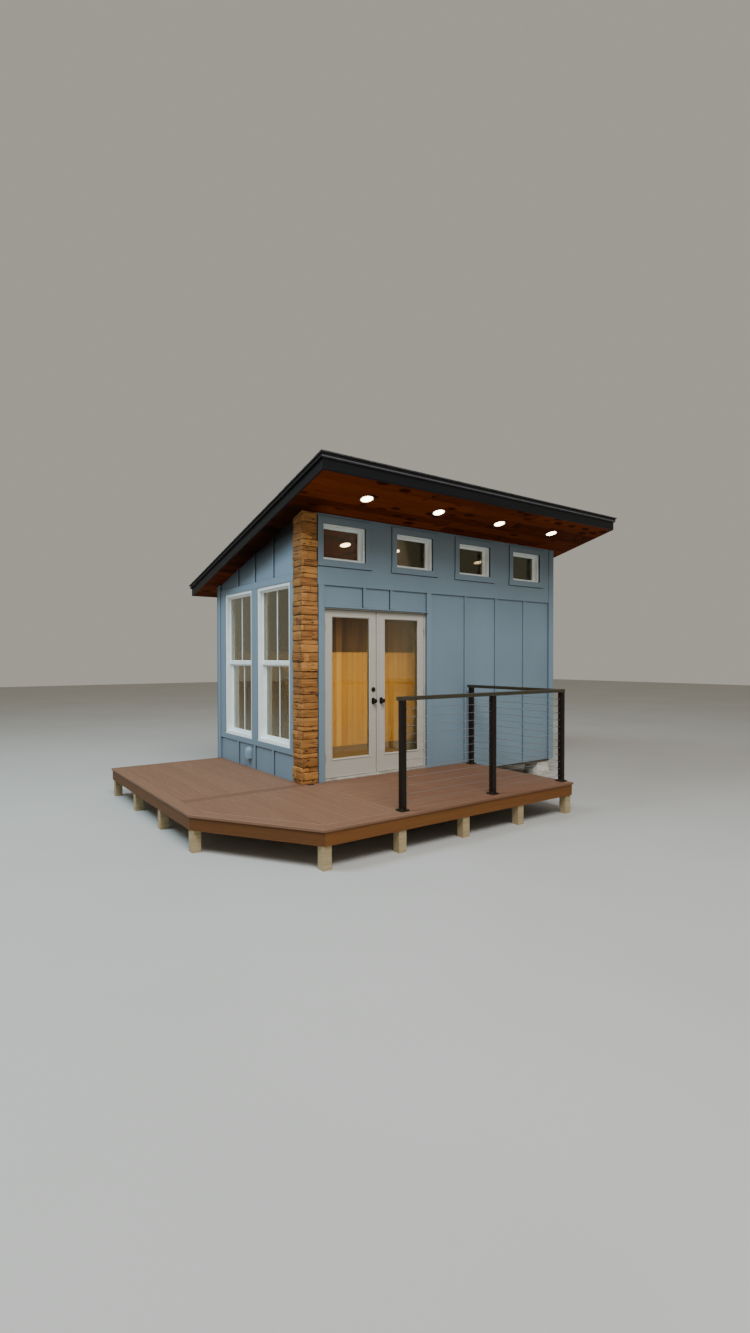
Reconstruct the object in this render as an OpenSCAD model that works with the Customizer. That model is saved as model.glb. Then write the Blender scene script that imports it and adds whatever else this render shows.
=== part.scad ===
// Garden office pod with a single-pitch roof, a wrap-round deck and a cable railing.
// Every length is in millimetres. The pieces are laid out from the front left corner of the
// siding, with +X along the front wall, +Y into the pod and +Z up from the ground, and the
// whole pod is then moved so that the origin is at the middle of its footprint.

/* [Pod] */
// Length of the front wall over its siding
pod_w = 4500; // [4300:10:6000]
// Depth of the pod over its siding
pod_d = 2530; // [2450:10:3200]
// Height of the soffit above the deck at the front wall
soffit_h = 3190; // [3180:5:3500]
// Thickness of a wall from siding to lining
wall_t = 125; // [120:1:200]
// Thickness of the siding sheet
siding_t = 12; // [8:1:20]
// How far the siding hangs below the floor
siding_drop = 124; // [60:1:150]
// Thickness of the floor panel
floor_t = 18; // [12:1:30]
// Height of a floor joist
joist_h = 140; // [120:5:160]
// Width of a joist, under the floor and under the deck
joist_w = 38; // [30:1:60]
// Largest distance between joist centres
joist_pitch = 406; // [300:1:600]

/* [Piers] */
// Width of a pier block at its foot
pier_foot = 300; // [260:5:360]
// Width of a pier block at its top
pier_top = 230; // [150:5:250]
// Number of piers along the front
pier_count_x = 4; // [3:1:6]
// Number of rows of piers from front to back
pier_count_y = 3; // [2:1:4]

/* [Roof] */
// Slope of the roof in degrees, rising to the front
roof_pitch = 14.1; // [8:0.1:16]
// Roof beyond the left wall
over_left = 262; // [150:1:400]
// Roof beyond the right wall
over_right = 345; // [150:1:500]
// Roof beyond the front wall
over_front = 886; // [500:1:1200]
// Roof beyond the back wall
over_back = 467; // [200:1:600]
// Thickness of the soffit boards
soffit_t = 14; // [10:1:25]
// Height of a rafter, measured plumb
rafter_h = 122; // [90:1:200]
// Width of a rafter
rafter_w = 38; // [30:1:60]
// Largest distance between rafter centres
rafter_pitch = 610; // [400:10:800]
// Thickness of the roof sheathing
sheathing_t = 15; // [9:1:25]
// Thickness of the fascia
fascia_t = 19; // [15:1:30]
// Thickness of the drip edge
drip_t = 20; // [10:1:30]
// Height of the drip edge
drip_h = 30; // [20:1:45]
// How far the drip edge stands above the fascia
drip_rise = 8; // [4:1:15]
// Thickness of the shingle layer
shingle_t = 12; // [8:1:25]
// How far the shingles reach beyond the drip edge
shingle_out = 16; // [5:1:30]

/* [Soffit lights] */
// Diameter of a light's trim
light_d = 165; // [120:1:200]
// Width of a light's trim ring
light_ring = 14; // [8:1:25]
// How far a light's trim stands below the soffit
light_proud = 4; // [2:1:8]
// Distance of the lights in front of the wall
light_out = 487; // [300:1:600]
// Number of lights inside
inner_light_count = 4; // [2:1:6]
// Distance of the inside lights behind the front wall's face
inner_light_in = 700; // [400:1:1200]
// Distance of the first inside light from the left wall's face
inner_light_left = 1051; // [400:1:1200]
// Distance of the last inside light from the right wall's face
inner_light_right = 902; // [400:1:1200]

/* [Clerestory windows] */
// Width of a clerestory window
clere_w = 614; // [500:1:700]
// Height of a clerestory window
clere_h = 430; // [380:1:450]
// Distance of the clerestory windows' heads below the soffit at the wall
clere_drop = 105; // [85:1:200]
// Centre of the first clerestory window from the left
clere_x = 572; // [420:1:600]
// Distance between the centres of two clerestory windows
clere_pitch = 1107; // [900:1:1150]
// Face width of a clerestory frame
clere_face = 20; // [15:1:40]
// Width of the stop round a clerestory pane
clere_stop = 24; // [10:1:40]
// Depth of the stop in front of a clerestory pane
clere_stop_t = 24; // [10:1:40]
// Depth of the glass behind the siding
clere_glass_in = 92; // [60:1:100]

/* [Side windows] */
// Foot of the side windows above the deck
side_z = 389; // [350:1:450]
// Distance of the side windows' heads below the height of the soffit at the front wall
side_drop = 790; // [760:1:1000]
// Front edge of the front side window from the front wall
side_first = 295; // [290:1:400]
// Wall between the two side windows
side_between = 179; // [160:1:300]
// Wall behind the back side window
side_last = 244; // [230:1:400]
// Face width of a side window frame
side_face = 42; // [30:1:60]
// Width of the lower sash's rails and stiles
sash_face = 36; // [25:1:60]
// Width of the upper sash's top rail and stiles
upper_face = 18; // [12:1:60]
// Width of the upper sash's lower rail
meeting_rail = 56; // [30:1:70]
// Thickness of a sash
sash_t = 30; // [20:1:32]
// Depth of the upper sash behind the siding
sash_in = 42; // [30:1:50]

/* [Glass] */
// Thickness of a window pane
pane_t = 6; // [4:1:12]
// Thickness of a door pane
door_pane_t = 16; // [6:1:24]

/* [Door] */
// Left edge of the door unit
door_x = 280; // [270:1:290]
// Width of the door unit between its casings
door_w = 1600; // [1500:1:1640]
// Height of the door unit above the deck
door_h = 2090; // [2000:1:2150]
// Width of a jamb
jamb_w = 22; // [18:1:40]
// Depth of the frame's face behind the siding
door_in = 12; // [0:1:20]
// Height of the threshold
threshold_h = 25; // [15:1:40]
// Width of the stop behind the leaves
stop_w = 14; // [10:1:25]
// Thickness of a leaf
leaf_t = 44; // [35:1:50]
// Clearance round a leaf
leaf_gap = 5; // [5:0.5:8]
// Clearance between the two leaves
meet_gap = 9; // [8:0.5:12]
// Width of the astragal on the right leaf
astragal_w = 29; // [20:1:45]
// How far the astragal stands in front of the leaf
astragal_proud = 6; // [3:1:10]
// Width of a leaf's stiles
stile_w = 86; // [76:1:120]
// Height of a leaf's bottom rail
bottom_rail = 210; // [150:1:300]
// Height of a leaf's top rail
top_rail = 70; // [60:1:120]
// Width of the moulding round a door pane
bead_w = 18; // [12:1:30]
// How far that moulding stands out of the leaf
bead_proud = 7; // [3:1:12]
// Height of the handles above the deck
handle_z = 938; // [850:1:1050]
// Height of the deadbolt above the deck
bolt_z = 1083; // [1060:1:1150]
// Diameter of a knob
knob_d = 56; // [50:1:62]
// How far a knob stands out of its leaf
knob_out = 65; // [55:1:75]
// Width of the plate behind a knob
rose_w = 52; // [45:1:60]
// Height of the plate behind a knob
rose_h = 86; // [75:1:100]
// Thickness of the plate behind a knob
rose_t = 8; // [4:1:10]
// Diameter of the deadbolt
bolt_d = 60; // [50:1:66]
// How far the deadbolt stands out of its leaf
bolt_out = 20; // [15:1:30]
// Radius of a hinge barrel
hinge_r = 6; // [5:0.5:7]
// Length of a hinge barrel
hinge_l = 102; // [75:1:120]
// Width of a hinge plate beside its barrel
hinge_plate = 19; // [12:1:21]
// Play over a leaf's knuckles
hinge_play = 0.5; // [0.2:0.1:1]
// Distance of the lowest hinge from a leaf's foot
hinge_foot = 200; // [150:5:280]
// Distance of the highest hinge from a leaf's top
hinge_head = 160; // [90:5:180]

/* [Trim] */
// Width of a batten
batten_w = 44; // [30:1:60]
// How far a batten stands out of the siding
batten_t = 18; // [12:1:24]
// Distance between batten centres
batten_pitch = 620; // [500:5:700]
// Centre of the first batten right of the door
batten_x = 2612; // [2560:1:2700]
// Distance between the two battens over the door
door_batten_pitch = 422; // [300:1:600]
// Foot of the frieze, as a part of the way from the door's head to the clerestory windows
frieze_part = 0.4655; // [0.3:0.0005:0.6]
// How far the frieze stands out of the siding
frieze_t = 20; // [14:1:24]
// How far casings and corner boards stand out of the siding
trim_t = 32; // [25:1:40]
// Width of a window casing
casing_w = 80; // [60:1:84]
// Width of the casing left of the door
door_casing_l = 84; // [60:1:90]
// Width of the casing right of the door
door_casing_r = 78; // [60:1:100]
// Width of a corner board
corner_w = 76; // [60:1:100]
// Width of the board under the side windows
apron_w = 74; // [50:1:80]
// Width of the board over the side windows
head_w = 88; // [60:1:100]
// Height of the drip cap over the door
cap_h = 16; // [10:1:25]
// How far the drip cap stands out of the siding
cap_out = 34; // [25:1:45]

/* [Stacked timber corner] */
// Length of the stack along the front wall
stack_x = 188; // [150:1:188]
// Length of the stack along the left wall
stack_y = 205; // [150:1:210]
// Thickness of the board behind the stack
stack_back = 8; // [5:1:12]
// Least projection of a timber
stack_min = 16; // [14:1:20]
// Greatest projection of a timber
stack_max = 36; // [30:1:50]
// Least height of a timber
timber_min = 46; // [40:1:60]
// Greatest height of a timber
timber_max = 112; // [80:1:130]
// Gap between two timbers
timber_gap = 2.5; // [1:0.5:4]
// Pattern of the stack
stack_seed = 11; // [1:1:99]

/* [Deck] */
// Height of the deck above the lowest ground
deck_top = 365; // [340:5:600]
// Deck beyond the left wall
deck_left = 1555; // [1200:5:1800]
// Deck beyond the front wall
deck_front = 1775; // [1500:5:2200]
// Right edge of the deck from the pod's left wall
deck_right = 2667; // [2400:1:3200]
// How far the deck stops short of the back wall
deck_short = 45; // [20:5:300]
// Length cut off the front edge by the slanted corner
cut_x = 775; // [400:5:900]
// Length cut off the left edge by the slanted corner
cut_y = 1205; // [600:5:1300]
// Thickness of the deck boards
board_t = 25; // [20:1:32]
// Width of a deck board
board_w = 140; // [120:1:160]
// Gap between two deck boards
board_gap = 5; // [3:1:8]
// How far the boards overhang the fascia
deck_nose = 12; // [5:1:25]
// Thickness of the deck fascia
deck_fascia_t = 14; // [10:1:25]
// Height of the deck joists and the deck fascia
deck_joist_h = 125; // [100:5:180]
// Gap between the deck and the siding
deck_gap = 6; // [4:1:12]
// Place of the joint between the two board directions in front of the door
deck_joint = 120; // [60:5:300]
// Width of a deck post
deck_post_w = 89; // [75:1:110]
// Number of posts along the front edge of the deck
deck_post_count_x = 5; // [3:1:7]
// Number of posts along the left edge of the deck
deck_post_count_y = 4; // [3:1:6]

/* [Railing] */
// Height of the top of the railing above the deck
rail_h = 1106; // [900:1:1200]
// Height of the top rail's section
rail_t = 38; // [25:1:50]
// Width of the top rail
rail_w = 62; // [58:1:80]
// Width of a railing post
post_w = 57; // [45:1:58]
// Width of a post's base plate
plate_w = 102; // [90:1:130]
// Thickness of a post's base plate
plate_t = 12; // [8:1:20]
// Base plates behind the right edge of the deck
plate_in = 5; // [2:1:40]
// First post from the pod's left wall
rail_x = 177; // [120:1:400]
// Middle post from the pod's left wall
rail_mid = 1430; // [1000:1:1600]
// Post line behind the front edge of the deck
rail_in = 135; // [60:1:250]
// Last post in front of the wall
rail_end = 130; // [90:1:300]
// How far the top rail runs past its end posts
rail_past = 24; // [5:1:50]
// Diameter of a cable
cable_d = 4; // [3:0.5:8]
// Number of cables in the railing
cable_count = 12; // [6:1:12]
// Distance between two cables
cable_pitch = 83; // [60:1:84]
// Diameter of a cable fitting
fitting_d = 11; // [9:0.5:14]
// Length of a cable fitting
fitting_l = 42; // [20:1:60]

/* [Vent] */
// Centre of the vent behind the batten between the side windows
vent_past = 180; // [160:5:270]
// Centre of the vent above the deck
vent_z = 203; // [150:1:220]
// Width of the vent's plate
vent_w = 150; // [120:1:180]
// Height of the vent's plate
vent_h = 178; // [140:1:200]
// Width of the plate beside the vent's hood
vent_rim = 10; // [5:1:20]
// How far the vent's hood stands out
vent_out = 78; // [50:1:110]
// Thickness of the vent's plate and shell
vent_t = 4; // [3:0.5:6]

/* [Hidden] */
$fn = 48;

slope = tan(roof_pitch);
// Play between two layers on the slope
seat = 0.1;
floor_z = deck_top;
joist_z = floor_z - floor_t - joist_h;
siding_z = floor_z - siding_drop;
head_z = deck_top + door_h;
fascia_h = soffit_t + rafter_h + sheathing_t;

roof_x0 = -over_left;
roof_x1 = pod_w + over_right;
roof_y0 = -over_front;
roof_y1 = pod_d + over_back;
roof_edge = drip_t + shingle_out;

deck_x0 = -deck_left;
deck_y0 = -deck_front;
deck_y1 = pod_d - deck_short;
cut_l = norm([cut_x, cut_y]);
deck_under = deck_top - board_t;
deck_joist_z = deck_under - deck_joist_h;

// The origin is at the middle of the box round the deck and the roof.
mid_x = (min(deck_x0, roof_x0 - roof_edge) + max(deck_right, roof_x1 + roof_edge)) / 2;
mid_y = (min(deck_y0, roof_y0 - roof_edge) + max(deck_y1, roof_y1 + roof_edge)) / 2;

clere_z = soffit_h - clere_drop - clere_h;
side_w = (pod_d - side_first - side_between - side_last) / 2;
side_h = soffit_h - side_drop - side_z;
side_y = side_first + side_w / 2;
side_pitch = side_w + side_between;
vent_y = side_y + side_pitch / 2 + vent_past;
frieze_z = door_h + frieze_part * (clere_z - door_h);
clere_count = floor((pod_w - clere_x - clere_w / 2 - casing_w - corner_w) / clere_pitch) + 1;
inner_light_pitch = (pod_w - inner_light_left - inner_light_right) / (inner_light_count - 1);
leaf_w = (door_w - 2 * jamb_w - 2 * leaf_gap - meet_gap - astragal_w) / 2;
leaf_z = deck_top + threshold_h + leaf_gap;
leaf_h = head_z - jamb_w - leaf_gap - leaf_z;
left_leaf_x = door_x + jamb_w + leaf_gap;
right_leaf_x = left_leaf_x + leaf_w + meet_gap + astragal_w;
hinge_y = door_in - 2 * hinge_r;
rail_line = deck_right - plate_w / 2 - plate_in;
rail_front = deck_y0 + rail_in;

// Height of the soffit's underside at a distance y behind the front wall
function soffit_z(y) = deck_top + soffit_h - y * slope;

// Height of a wall's top at y
function wall_top(y) = soffit_z(y) - seat;

// The deck's outline, drawn in by d on every side
function deck_outline(d) = [
    [deck_x0 + d, deck_y1 - d],
    [deck_x0 + d, deck_y0 + cut_y + d * (cut_l - cut_y) / cut_x],
    [deck_x0 + cut_x + d * (cut_l - cut_x) / cut_y, deck_y0 + d],
    [deck_right - d, deck_y0 + d],
    [deck_right - d, -deck_gap - d],
    [-deck_gap - d, -deck_gap - d],
    [-deck_gap - d, deck_y1 - d],
];

// The part of the deck inside its border boards
function deck_field() = [
    [deck_x0 + board_w, deck_y1 - board_w],
    [deck_x0 + board_w, deck_y0 + cut_y + board_w * (cut_l - cut_y) / cut_x],
    [deck_x0 + cut_x + board_w * (cut_l - cut_x) / cut_y, deck_y0 + board_w],
    [deck_right - board_w, deck_y0 + board_w],
    [deck_right - board_w, 1],
    [1, 1],
    [1, deck_y1 - board_w],
];

// Places of n things spread evenly from a to b
function spread(a, b, n) = [for (i = [0:n - 1]) a + (b - a) * i / (n - 1)];

// Places from a to b that are no further apart than pitch
function within(a, b, pitch) = spread(a, b, max(2, ceil((b - a) / pitch) + 1));

// A box from one corner to the other
module box(low, high) {
    translate(low) cube(high - low);
}

// A profile drawn in Y and Z, run along X
module along_x(x0, x1) {
    translate([x0, 0, 0]) rotate([90, 0, 90]) linear_extrude(x1 - x0) children();
}

// A layer of the roof between two plumb distances above the soffit's underside
module roof_layer(x0, x1, y0, y1, low, high) {
    along_x(x0, x1) polygon([
        [y0, soffit_z(y0) + low],
        [y1, soffit_z(y1) + low],
        [y1, soffit_z(y1) + high],
        [y0, soffit_z(y0) + high],
    ]);
}

// The same layer as a ring of width t inside its outer edge
module roof_ring(out, t, low, high) {
    difference() {
        roof_layer(roof_x0 - out, roof_x1 + out, roof_y0 - out, roof_y1 + out, low, high);
        roof_layer(roof_x0 - out + t, roof_x1 + out - t, roof_y0 - out + t, roof_y1 + out - t,
            low - 1, high + 1);
    }
}

// Everything below the soffit, to cut what runs up to it
module under_roof() {
    along_x(roof_x0, roof_x1) polygon([
        [roof_y0, 0],
        [roof_y1, 0],
        [roof_y1, wall_top(roof_y1)],
        [roof_y0, wall_top(roof_y0)],
    ]);
}

// A rectangle with a smaller one cut out of it, run along Y or X
module ring_y(x0, x1, z0, z1, y0, y1, w) {
    difference() {
        box([x0, y0, z0], [x1, y1, z1]);
        box([x0 + w, y0 - 1, z0 + w], [x1 - w, y1 + 1, z1 - w]);
    }
}
module ring_x(y0, y1, z0, z1, x0, x1, w) {
    difference() {
        box([x0, y0, z0], [x1, y1, z1]);
        box([x0 - 1, y0 + w, z0 + w], [x1 + 1, y1 - w, z1 - w]);
    }
}

// Children at each clerestory window's left edge
module each_clerestory() {
    for (i = [0:clere_count - 1])
        translate([clere_x + i * clere_pitch - clere_w / 2, 0, deck_top + clere_z]) children();
}

// Children at each side window's front edge
module each_side_window() {
    for (i = [0:1])
        translate([0, side_y + i * side_pitch - side_w / 2, deck_top + side_z]) children();
}

module pier_blocks() {
    color("gainsboro")
    for (x = spread(pier_foot / 2, pod_w - pier_foot / 2, pier_count_x))
        for (y = spread(pier_foot / 2, pod_d - pier_foot / 2, pier_count_y))
            translate([x, y, 0]) intersection() {
                rotate([90, 0, 0]) linear_extrude(pier_foot, center = true) pier_side();
                rotate([90, 0, 90]) linear_extrude(pier_foot, center = true) pier_side();
            }
}
module pier_side() {
    polygon([
        [-pier_foot / 2, 0],
        [pier_foot / 2, 0],
        [pier_top / 2, joist_z],
        [-pier_top / 2, joist_z],
    ]);
}

module floor_frame() {
    x0 = siding_t;
    x1 = pod_w - siding_t;
    y0 = siding_t;
    y1 = pod_d - siding_t;
    color("burlywood") {
        difference() {
            box([x0, y0, joist_z], [x1, y1, joist_z + joist_h]);
            box([x0 + joist_w, y0 + joist_w, joist_z - 1], [x1 - joist_w, y1 - joist_w, floor_z]);
        }
        for (x = within(x0 + joist_w / 2, x1 - joist_w / 2, joist_pitch))
            box([x - joist_w / 2, y0, joist_z], [x + joist_w / 2, y1, joist_z + joist_h]);
    }
}

module floor_panel() {
    color("tan") box([siding_t, siding_t, floor_z - floor_t], [pod_w - siding_t, pod_d - siding_t, floor_z]);
}

// A wall's section up to the door head, with its siding hanging past the floor
module wall_section() {
    polygon([
        [0, siding_z],
        [siding_t, siding_z],
        [siding_t, floor_z],
        [wall_t, floor_z],
        [wall_t, head_z],
        [0, head_z],
    ]);
}
module front_wall_left() {
    color("steelblue") along_x(0, door_x) wall_section();
}
module front_wall_right() {
    color("steelblue") along_x(door_x + door_w, pod_w) wall_section();
}
module front_wall_top() {
    color("steelblue") difference() {
        along_x(0, pod_w) polygon([
            [0, head_z],
            [wall_t, head_z],
            [wall_t, wall_top(wall_t)],
            [0, wall_top(0)],
        ]);
        each_clerestory() translate([0, -1, 0]) cube([clere_w, wall_t + 2, clere_h]);
    }
}

// A side wall between the front and back walls, with its siding on the side of x0
module side_wall(x0, x1, siding_side) {
    module leaf(a, b, foot) {
        along_x(a, b) polygon([
            [wall_t, foot],
            [pod_d - wall_t, foot],
            [pod_d - wall_t, wall_top(pod_d - wall_t)],
            [wall_t, wall_top(wall_t)],
        ]);
    }
    leaf(x0, x1, floor_z);
    leaf(siding_side, siding_side + siding_t, siding_z);
}
module left_wall() {
    color("steelblue") difference() {
        side_wall(0, wall_t, 0);
        each_side_window() translate([-1, 0, 0]) cube([wall_t + 2, side_w, side_h]);
    }
}
module right_wall() {
    color("steelblue") side_wall(pod_w - wall_t, pod_w, pod_w - siding_t);
}
module back_wall() {
    y0 = pod_d - wall_t;
    color("steelblue") along_x(0, pod_w) polygon([
        [y0, floor_z],
        [pod_d - siding_t, floor_z],
        [pod_d - siding_t, siding_z],
        [pod_d, siding_z],
        [pod_d, wall_top(pod_d)],
        [y0, wall_top(y0)],
    ]);
}

// A board on the front siding
module front_board(x0, x1, z0, z1, t) {
    box([x0, -t, z0], [x1, 0, z1]);
}
// Door casings with the drip cap between them, battens and the right corner board
module front_trim() {
    frieze_foot = deck_top + frieze_z;
    door_mid = door_x + door_w / 2;
    door_end = door_x + door_w;
    color("slategray") {
        drip_cap();
        front_board(door_x - door_casing_l, door_x, deck_top, frieze_foot, trim_t);
        front_board(door_end, door_end + door_casing_r, deck_top, frieze_foot, trim_t);
        for (x = [door_mid - door_batten_pitch / 2, door_mid + door_batten_pitch / 2])
            front_board(x - batten_w / 2, x + batten_w / 2, head_z + cap_h, frieze_foot, batten_t);
        for (x = [batten_x:batten_pitch:pod_w - corner_w - batten_w])
            front_board(x - batten_w / 2, x + batten_w / 2,
                x < deck_right + batten_w ? deck_top : siding_z, frieze_foot, batten_t);
        intersection() {
            front_board(pod_w - corner_w, pod_w + trim_t, siding_z, soffit_z(-trim_t) + trim_t, trim_t);
            under_roof();
        }
    }
}
module frieze() {
    color("slategray") difference() {
        intersection() {
            front_board(stack_x, pod_w - corner_w, deck_top + frieze_z,
                soffit_z(-frieze_t) + frieze_t, frieze_t);
            under_roof();
        }
        each_clerestory() translate([0, -frieze_t - 1, 0]) cube([clere_w, frieze_t + 2, clere_h]);
    }
}
module clerestory_casings() {
    color("slategray") intersection() {
        each_clerestory() difference() {
            translate([-casing_w, -trim_t, -casing_w])
                cube([clere_w + 2 * casing_w, trim_t - frieze_t, clere_h + 3 * casing_w]);
            translate([0, -trim_t - 1, 0]) cube([clere_w, trim_t + 2, clere_h]);
        }
        under_roof();
        box([stack_x, -trim_t, deck_top], [pod_w, 0, soffit_z(-trim_t)]);
    }
}

module clerestory_frames() {
    y0 = clere_glass_in - clere_stop_t;
    y1 = clere_glass_in + pane_t + clere_stop_t / 3;
    color("white") each_clerestory() difference() {
        box([0, 0, 0], [clere_w, wall_t, clere_h]);
        clere_opening(-1, y0, clere_face);
        clere_opening(-1, wall_t + 1, clere_face + clere_stop);
        clere_opening(y1, wall_t + 1, clere_face);
    }
}
// The opening inside a clerestory frame's face or its stop, from depth y0 to y1
module clere_opening(y0, y1, w) {
    box([w, y0, w], [clere_w - w, y1, clere_h - w]);
}
// Casings, battens and corner boards of the left wall
module left_trim() {
    foot = deck_top;
    apron_z = deck_top + side_z - apron_w;
    top_z = deck_top + side_z + side_h + head_w;
    back_y = pod_d - corner_w;
    far_y = side_y + side_pitch;
    mid_y = side_y + side_pitch / 2;
    half = side_w / 2;
    color("steelblue") intersection() {
        difference() {
            union() {
                box([-batten_t, stack_y, apron_z], [0, back_y, top_z]);
                for (y = [side_y, mid_y, far_y])
                    box([-batten_t, y - batten_w / 2, foot], [0, y + batten_w / 2, soffit_z(y) + batten_w]);
                box([-trim_t, back_y, foot], [0, pod_d, soffit_z(back_y) + batten_w]);
            }
            for (y = [side_y, far_y])
                box([-trim_t - 1, y - half, deck_top + side_z], [1, y + half, deck_top + side_z + side_h]);
            box([-batten_t - 1, vent_y - vent_w / 2 - 1, deck_top + vent_z - vent_h / 2 - 1],
                [1, vent_y + vent_w / 2 + 1, deck_top + vent_z + vent_h / 2 + 1]);
        }
        under_roof();
    }
}
// The right wall has battens between two corner boards and no opening.
module right_trim() {
    color("steelblue") intersection() {
        union() {
            for (y = [0, pod_d - corner_w])
                box([pod_w, y, siding_z], [pod_w + trim_t, y + corner_w, soffit_z(y) + corner_w]);
            for (y = within(corner_w, pod_d - corner_w, batten_pitch))
                if (y > corner_w && y < pod_d - corner_w - 1)
                    box([pod_w, y - batten_w / 2, siding_z],
                        [pod_w + batten_t, y + batten_w / 2, soffit_z(y) + batten_w]);
        }
        under_roof();
    }
}
module back_trim() {
    color("steelblue") intersection() {
        union() {
            box([-trim_t, pod_d, siding_z], [corner_w, pod_d + trim_t, soffit_z(pod_d)]);
            box([pod_w - corner_w, pod_d, siding_z], [pod_w + trim_t, pod_d + trim_t, soffit_z(pod_d)]);
            for (x = within(corner_w, pod_w - corner_w, batten_pitch))
                if (x > corner_w && x < pod_w - corner_w - 1)
                    box([x - batten_w / 2, pod_d, siding_z],
                        [x + batten_w / 2, pod_d + batten_t, soffit_z(pod_d)]);
        }
        under_roof();
    }
}

module side_window_frames() {
    color("white") each_side_window()
        ring_x(0, side_w, 0, side_h, 0, wall_t, side_face);
}
// Upper sash in front, lower sash behind it, meeting at half height
module side_window_sashes() {
    y0 = side_face;
    y1 = side_w - side_face;
    mid = side_h / 2;
    color("whitesmoke") each_side_window() {
        ring_x(y0, y1, mid, side_h - side_face, sash_in, sash_in + sash_t, upper_face);
        box([sash_in, y0, mid], [sash_in + sash_t, y1, mid + meeting_rail]);
        ring_x(y0, y1, side_face, mid + sash_face / 2,
            sash_in + sash_t + 2, sash_in + 2 * sash_t + 2, sash_face);
    }
}
module window_glass() {
    y0 = side_face + sash_face;
    y2 = side_face + upper_face;
    mid = side_h / 2;
    inset = (sash_t - pane_t) / 2;
    upper = sash_in + inset;
    lower = upper + sash_t + 2;
    color("lightblue", 0.4) {
        each_clerestory() clere_opening(clere_glass_in, clere_glass_in + pane_t, clere_face + clere_stop);
        each_side_window() {
            box([upper, y2, mid + meeting_rail], [upper + pane_t, side_w - y2, side_h - y2]);
            box([lower, y0, y0], [lower + pane_t, side_w - y0, mid - sash_face / 2]);
        }
    }
}

// Rough timbers stacked round the front left corner. Each course has its own height and
// projection in whole millimetres, and the last one runs up to the soffit.
stack_top = soffit_h + stack_max * slope;
stack_low = soffit_h - stack_y * slope - timber_min;
course_h = [for (r = rands(timber_min, timber_max, 100, stack_seed)) round(r)];
front_out = [for (r = rands(stack_min, stack_max, 100, stack_seed + 1)) round(r)];
side_out = [for (r = rands(stack_min, stack_max, 100, stack_seed + 2)) round(r)];
function course_z(i) = i == 0 ? 0 : course_z(i - 1) + course_h[i - 1];
courses = len([for (i = [0:99]) if (course_z(i) < stack_low) i]);

module stacked_corner() {
    color("peru") intersection() {
        union() {
            translate([0, 0, deck_top]) linear_extrude(stack_top)
                around_corner(stack_back, stack_back, stack_x - 2, stack_y - 2);
            for (i = [0:courses - 1]) stack_course(i);
        }
        under_roof();
    }
}
module stack_course(i) {
    z0 = course_z(i);
    z1 = i == courses - 1 ? stack_top : z0 + course_h[i] - timber_gap;
    translate([0, 0, deck_top + z0]) linear_extrude(z1 - z0)
        around_corner(front_out[i], side_out[i], stack_x, stack_y);
}
// The plan of a course in front of the front wall and beside the left wall
module around_corner(front, side, along_front, along_side) {
    polygon([
        [0, 0],
        [along_front, 0],
        [along_front, -front],
        [-side, -front],
        [-side, along_side],
        [0, along_side],
    ]);
}

module vent_hood() {
    color("steelblue") translate([0, vent_y, deck_top + vent_z]) {
        box([-vent_t, -vent_w / 2, -vent_h / 2], [0, vent_w / 2, vent_h / 2]);
        difference() {
            vent_shape(vent_rim, vent_out);
            translate([0, 0, -vent_t]) vent_shape(vent_rim + vent_t, vent_out - vent_t);
        }
    }
}
// The hood's sloping shape, open underneath, inside the plate's edge by in
module vent_shape(in, out) {
    half = vent_h / 2 - in;
    rotate([90, 0, 0]) linear_extrude(vent_w - 2 * in, center = true) polygon([
        [0, half],
        [-out / 3, half],
        [-out, -half / 2],
        [-out, -half],
        [0, -half],
    ]);
}

module door_frame() {
    x1 = door_x + door_w;
    stop_y = door_in + leaf_t + leaf_gap;
    color("lightgray") {
        difference() {
            box([door_x, door_in, deck_top + threshold_h], [x1, wall_t, head_z]);
            box([door_x + jamb_w, 0, deck_top], [x1 - jamb_w, stop_y, head_z - jamb_w]);
            box([door_x + jamb_w + stop_w, 0, deck_top],
                [x1 - jamb_w - stop_w, wall_t + 1, head_z - jamb_w - stop_w]);
        }
    }
}
module threshold() {
    color("silver") along_x(door_x, door_x + door_w) polygon([
        [-trim_t, deck_top],
        [wall_t, deck_top],
        [wall_t, deck_top + threshold_h],
        [door_in, deck_top + threshold_h],
        [-trim_t, deck_top + threshold_h / 2],
    ]);
}
module drip_cap() {
    along_x(door_x, door_x + door_w) polygon([
        [0, head_z],
        [-cap_out, head_z],
        [-cap_out, head_z + cap_h / 3],
        [0, head_z + cap_h],
    ]);
}

// A leaf with its lower left outer corner at the origin and its pane cut out
module leaf() {
    x0 = stile_w;
    x1 = leaf_w - stile_w;
    z1 = leaf_h - top_rail;
    difference() {
        union() {
            cube([leaf_w, leaf_t, leaf_h]);
            box([x0, -bead_proud, bottom_rail], [x1, leaf_t, z1]);
        }
        box([x0 + bead_w, -bead_proud - 1, bottom_rail + bead_w], [x1 - bead_w, leaf_t + 1, z1 - bead_w]);
    }
}
module leaf_pane() {
    x0 = stile_w + bead_w;
    z0 = bottom_rail + bead_w;
    y0 = (leaf_t - door_pane_t) / 2;
    box([x0, y0, z0], [leaf_w - x0, y0 + door_pane_t, leaf_h - top_rail - bead_w]);
}
// A hinge knuckle on its axis, with a plate on the side given and its lower end at the origin
module knuckle(h, side) {
    cylinder(r = hinge_r, h = h);
    box([min(0, side * hinge_plate), hinge_r / 2, 0],
        [max(0, side * hinge_plate), -hinge_y + door_in, h]);
}
// Children at the foot of each hinge of a leaf whose edge is at x
module each_hinge(x, side) {
    for (z = spread(hinge_foot, leaf_h - hinge_head - hinge_l, 3))
        translate([x - side * leaf_gap / 2, hinge_y - door_in, z]) children();
}
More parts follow.
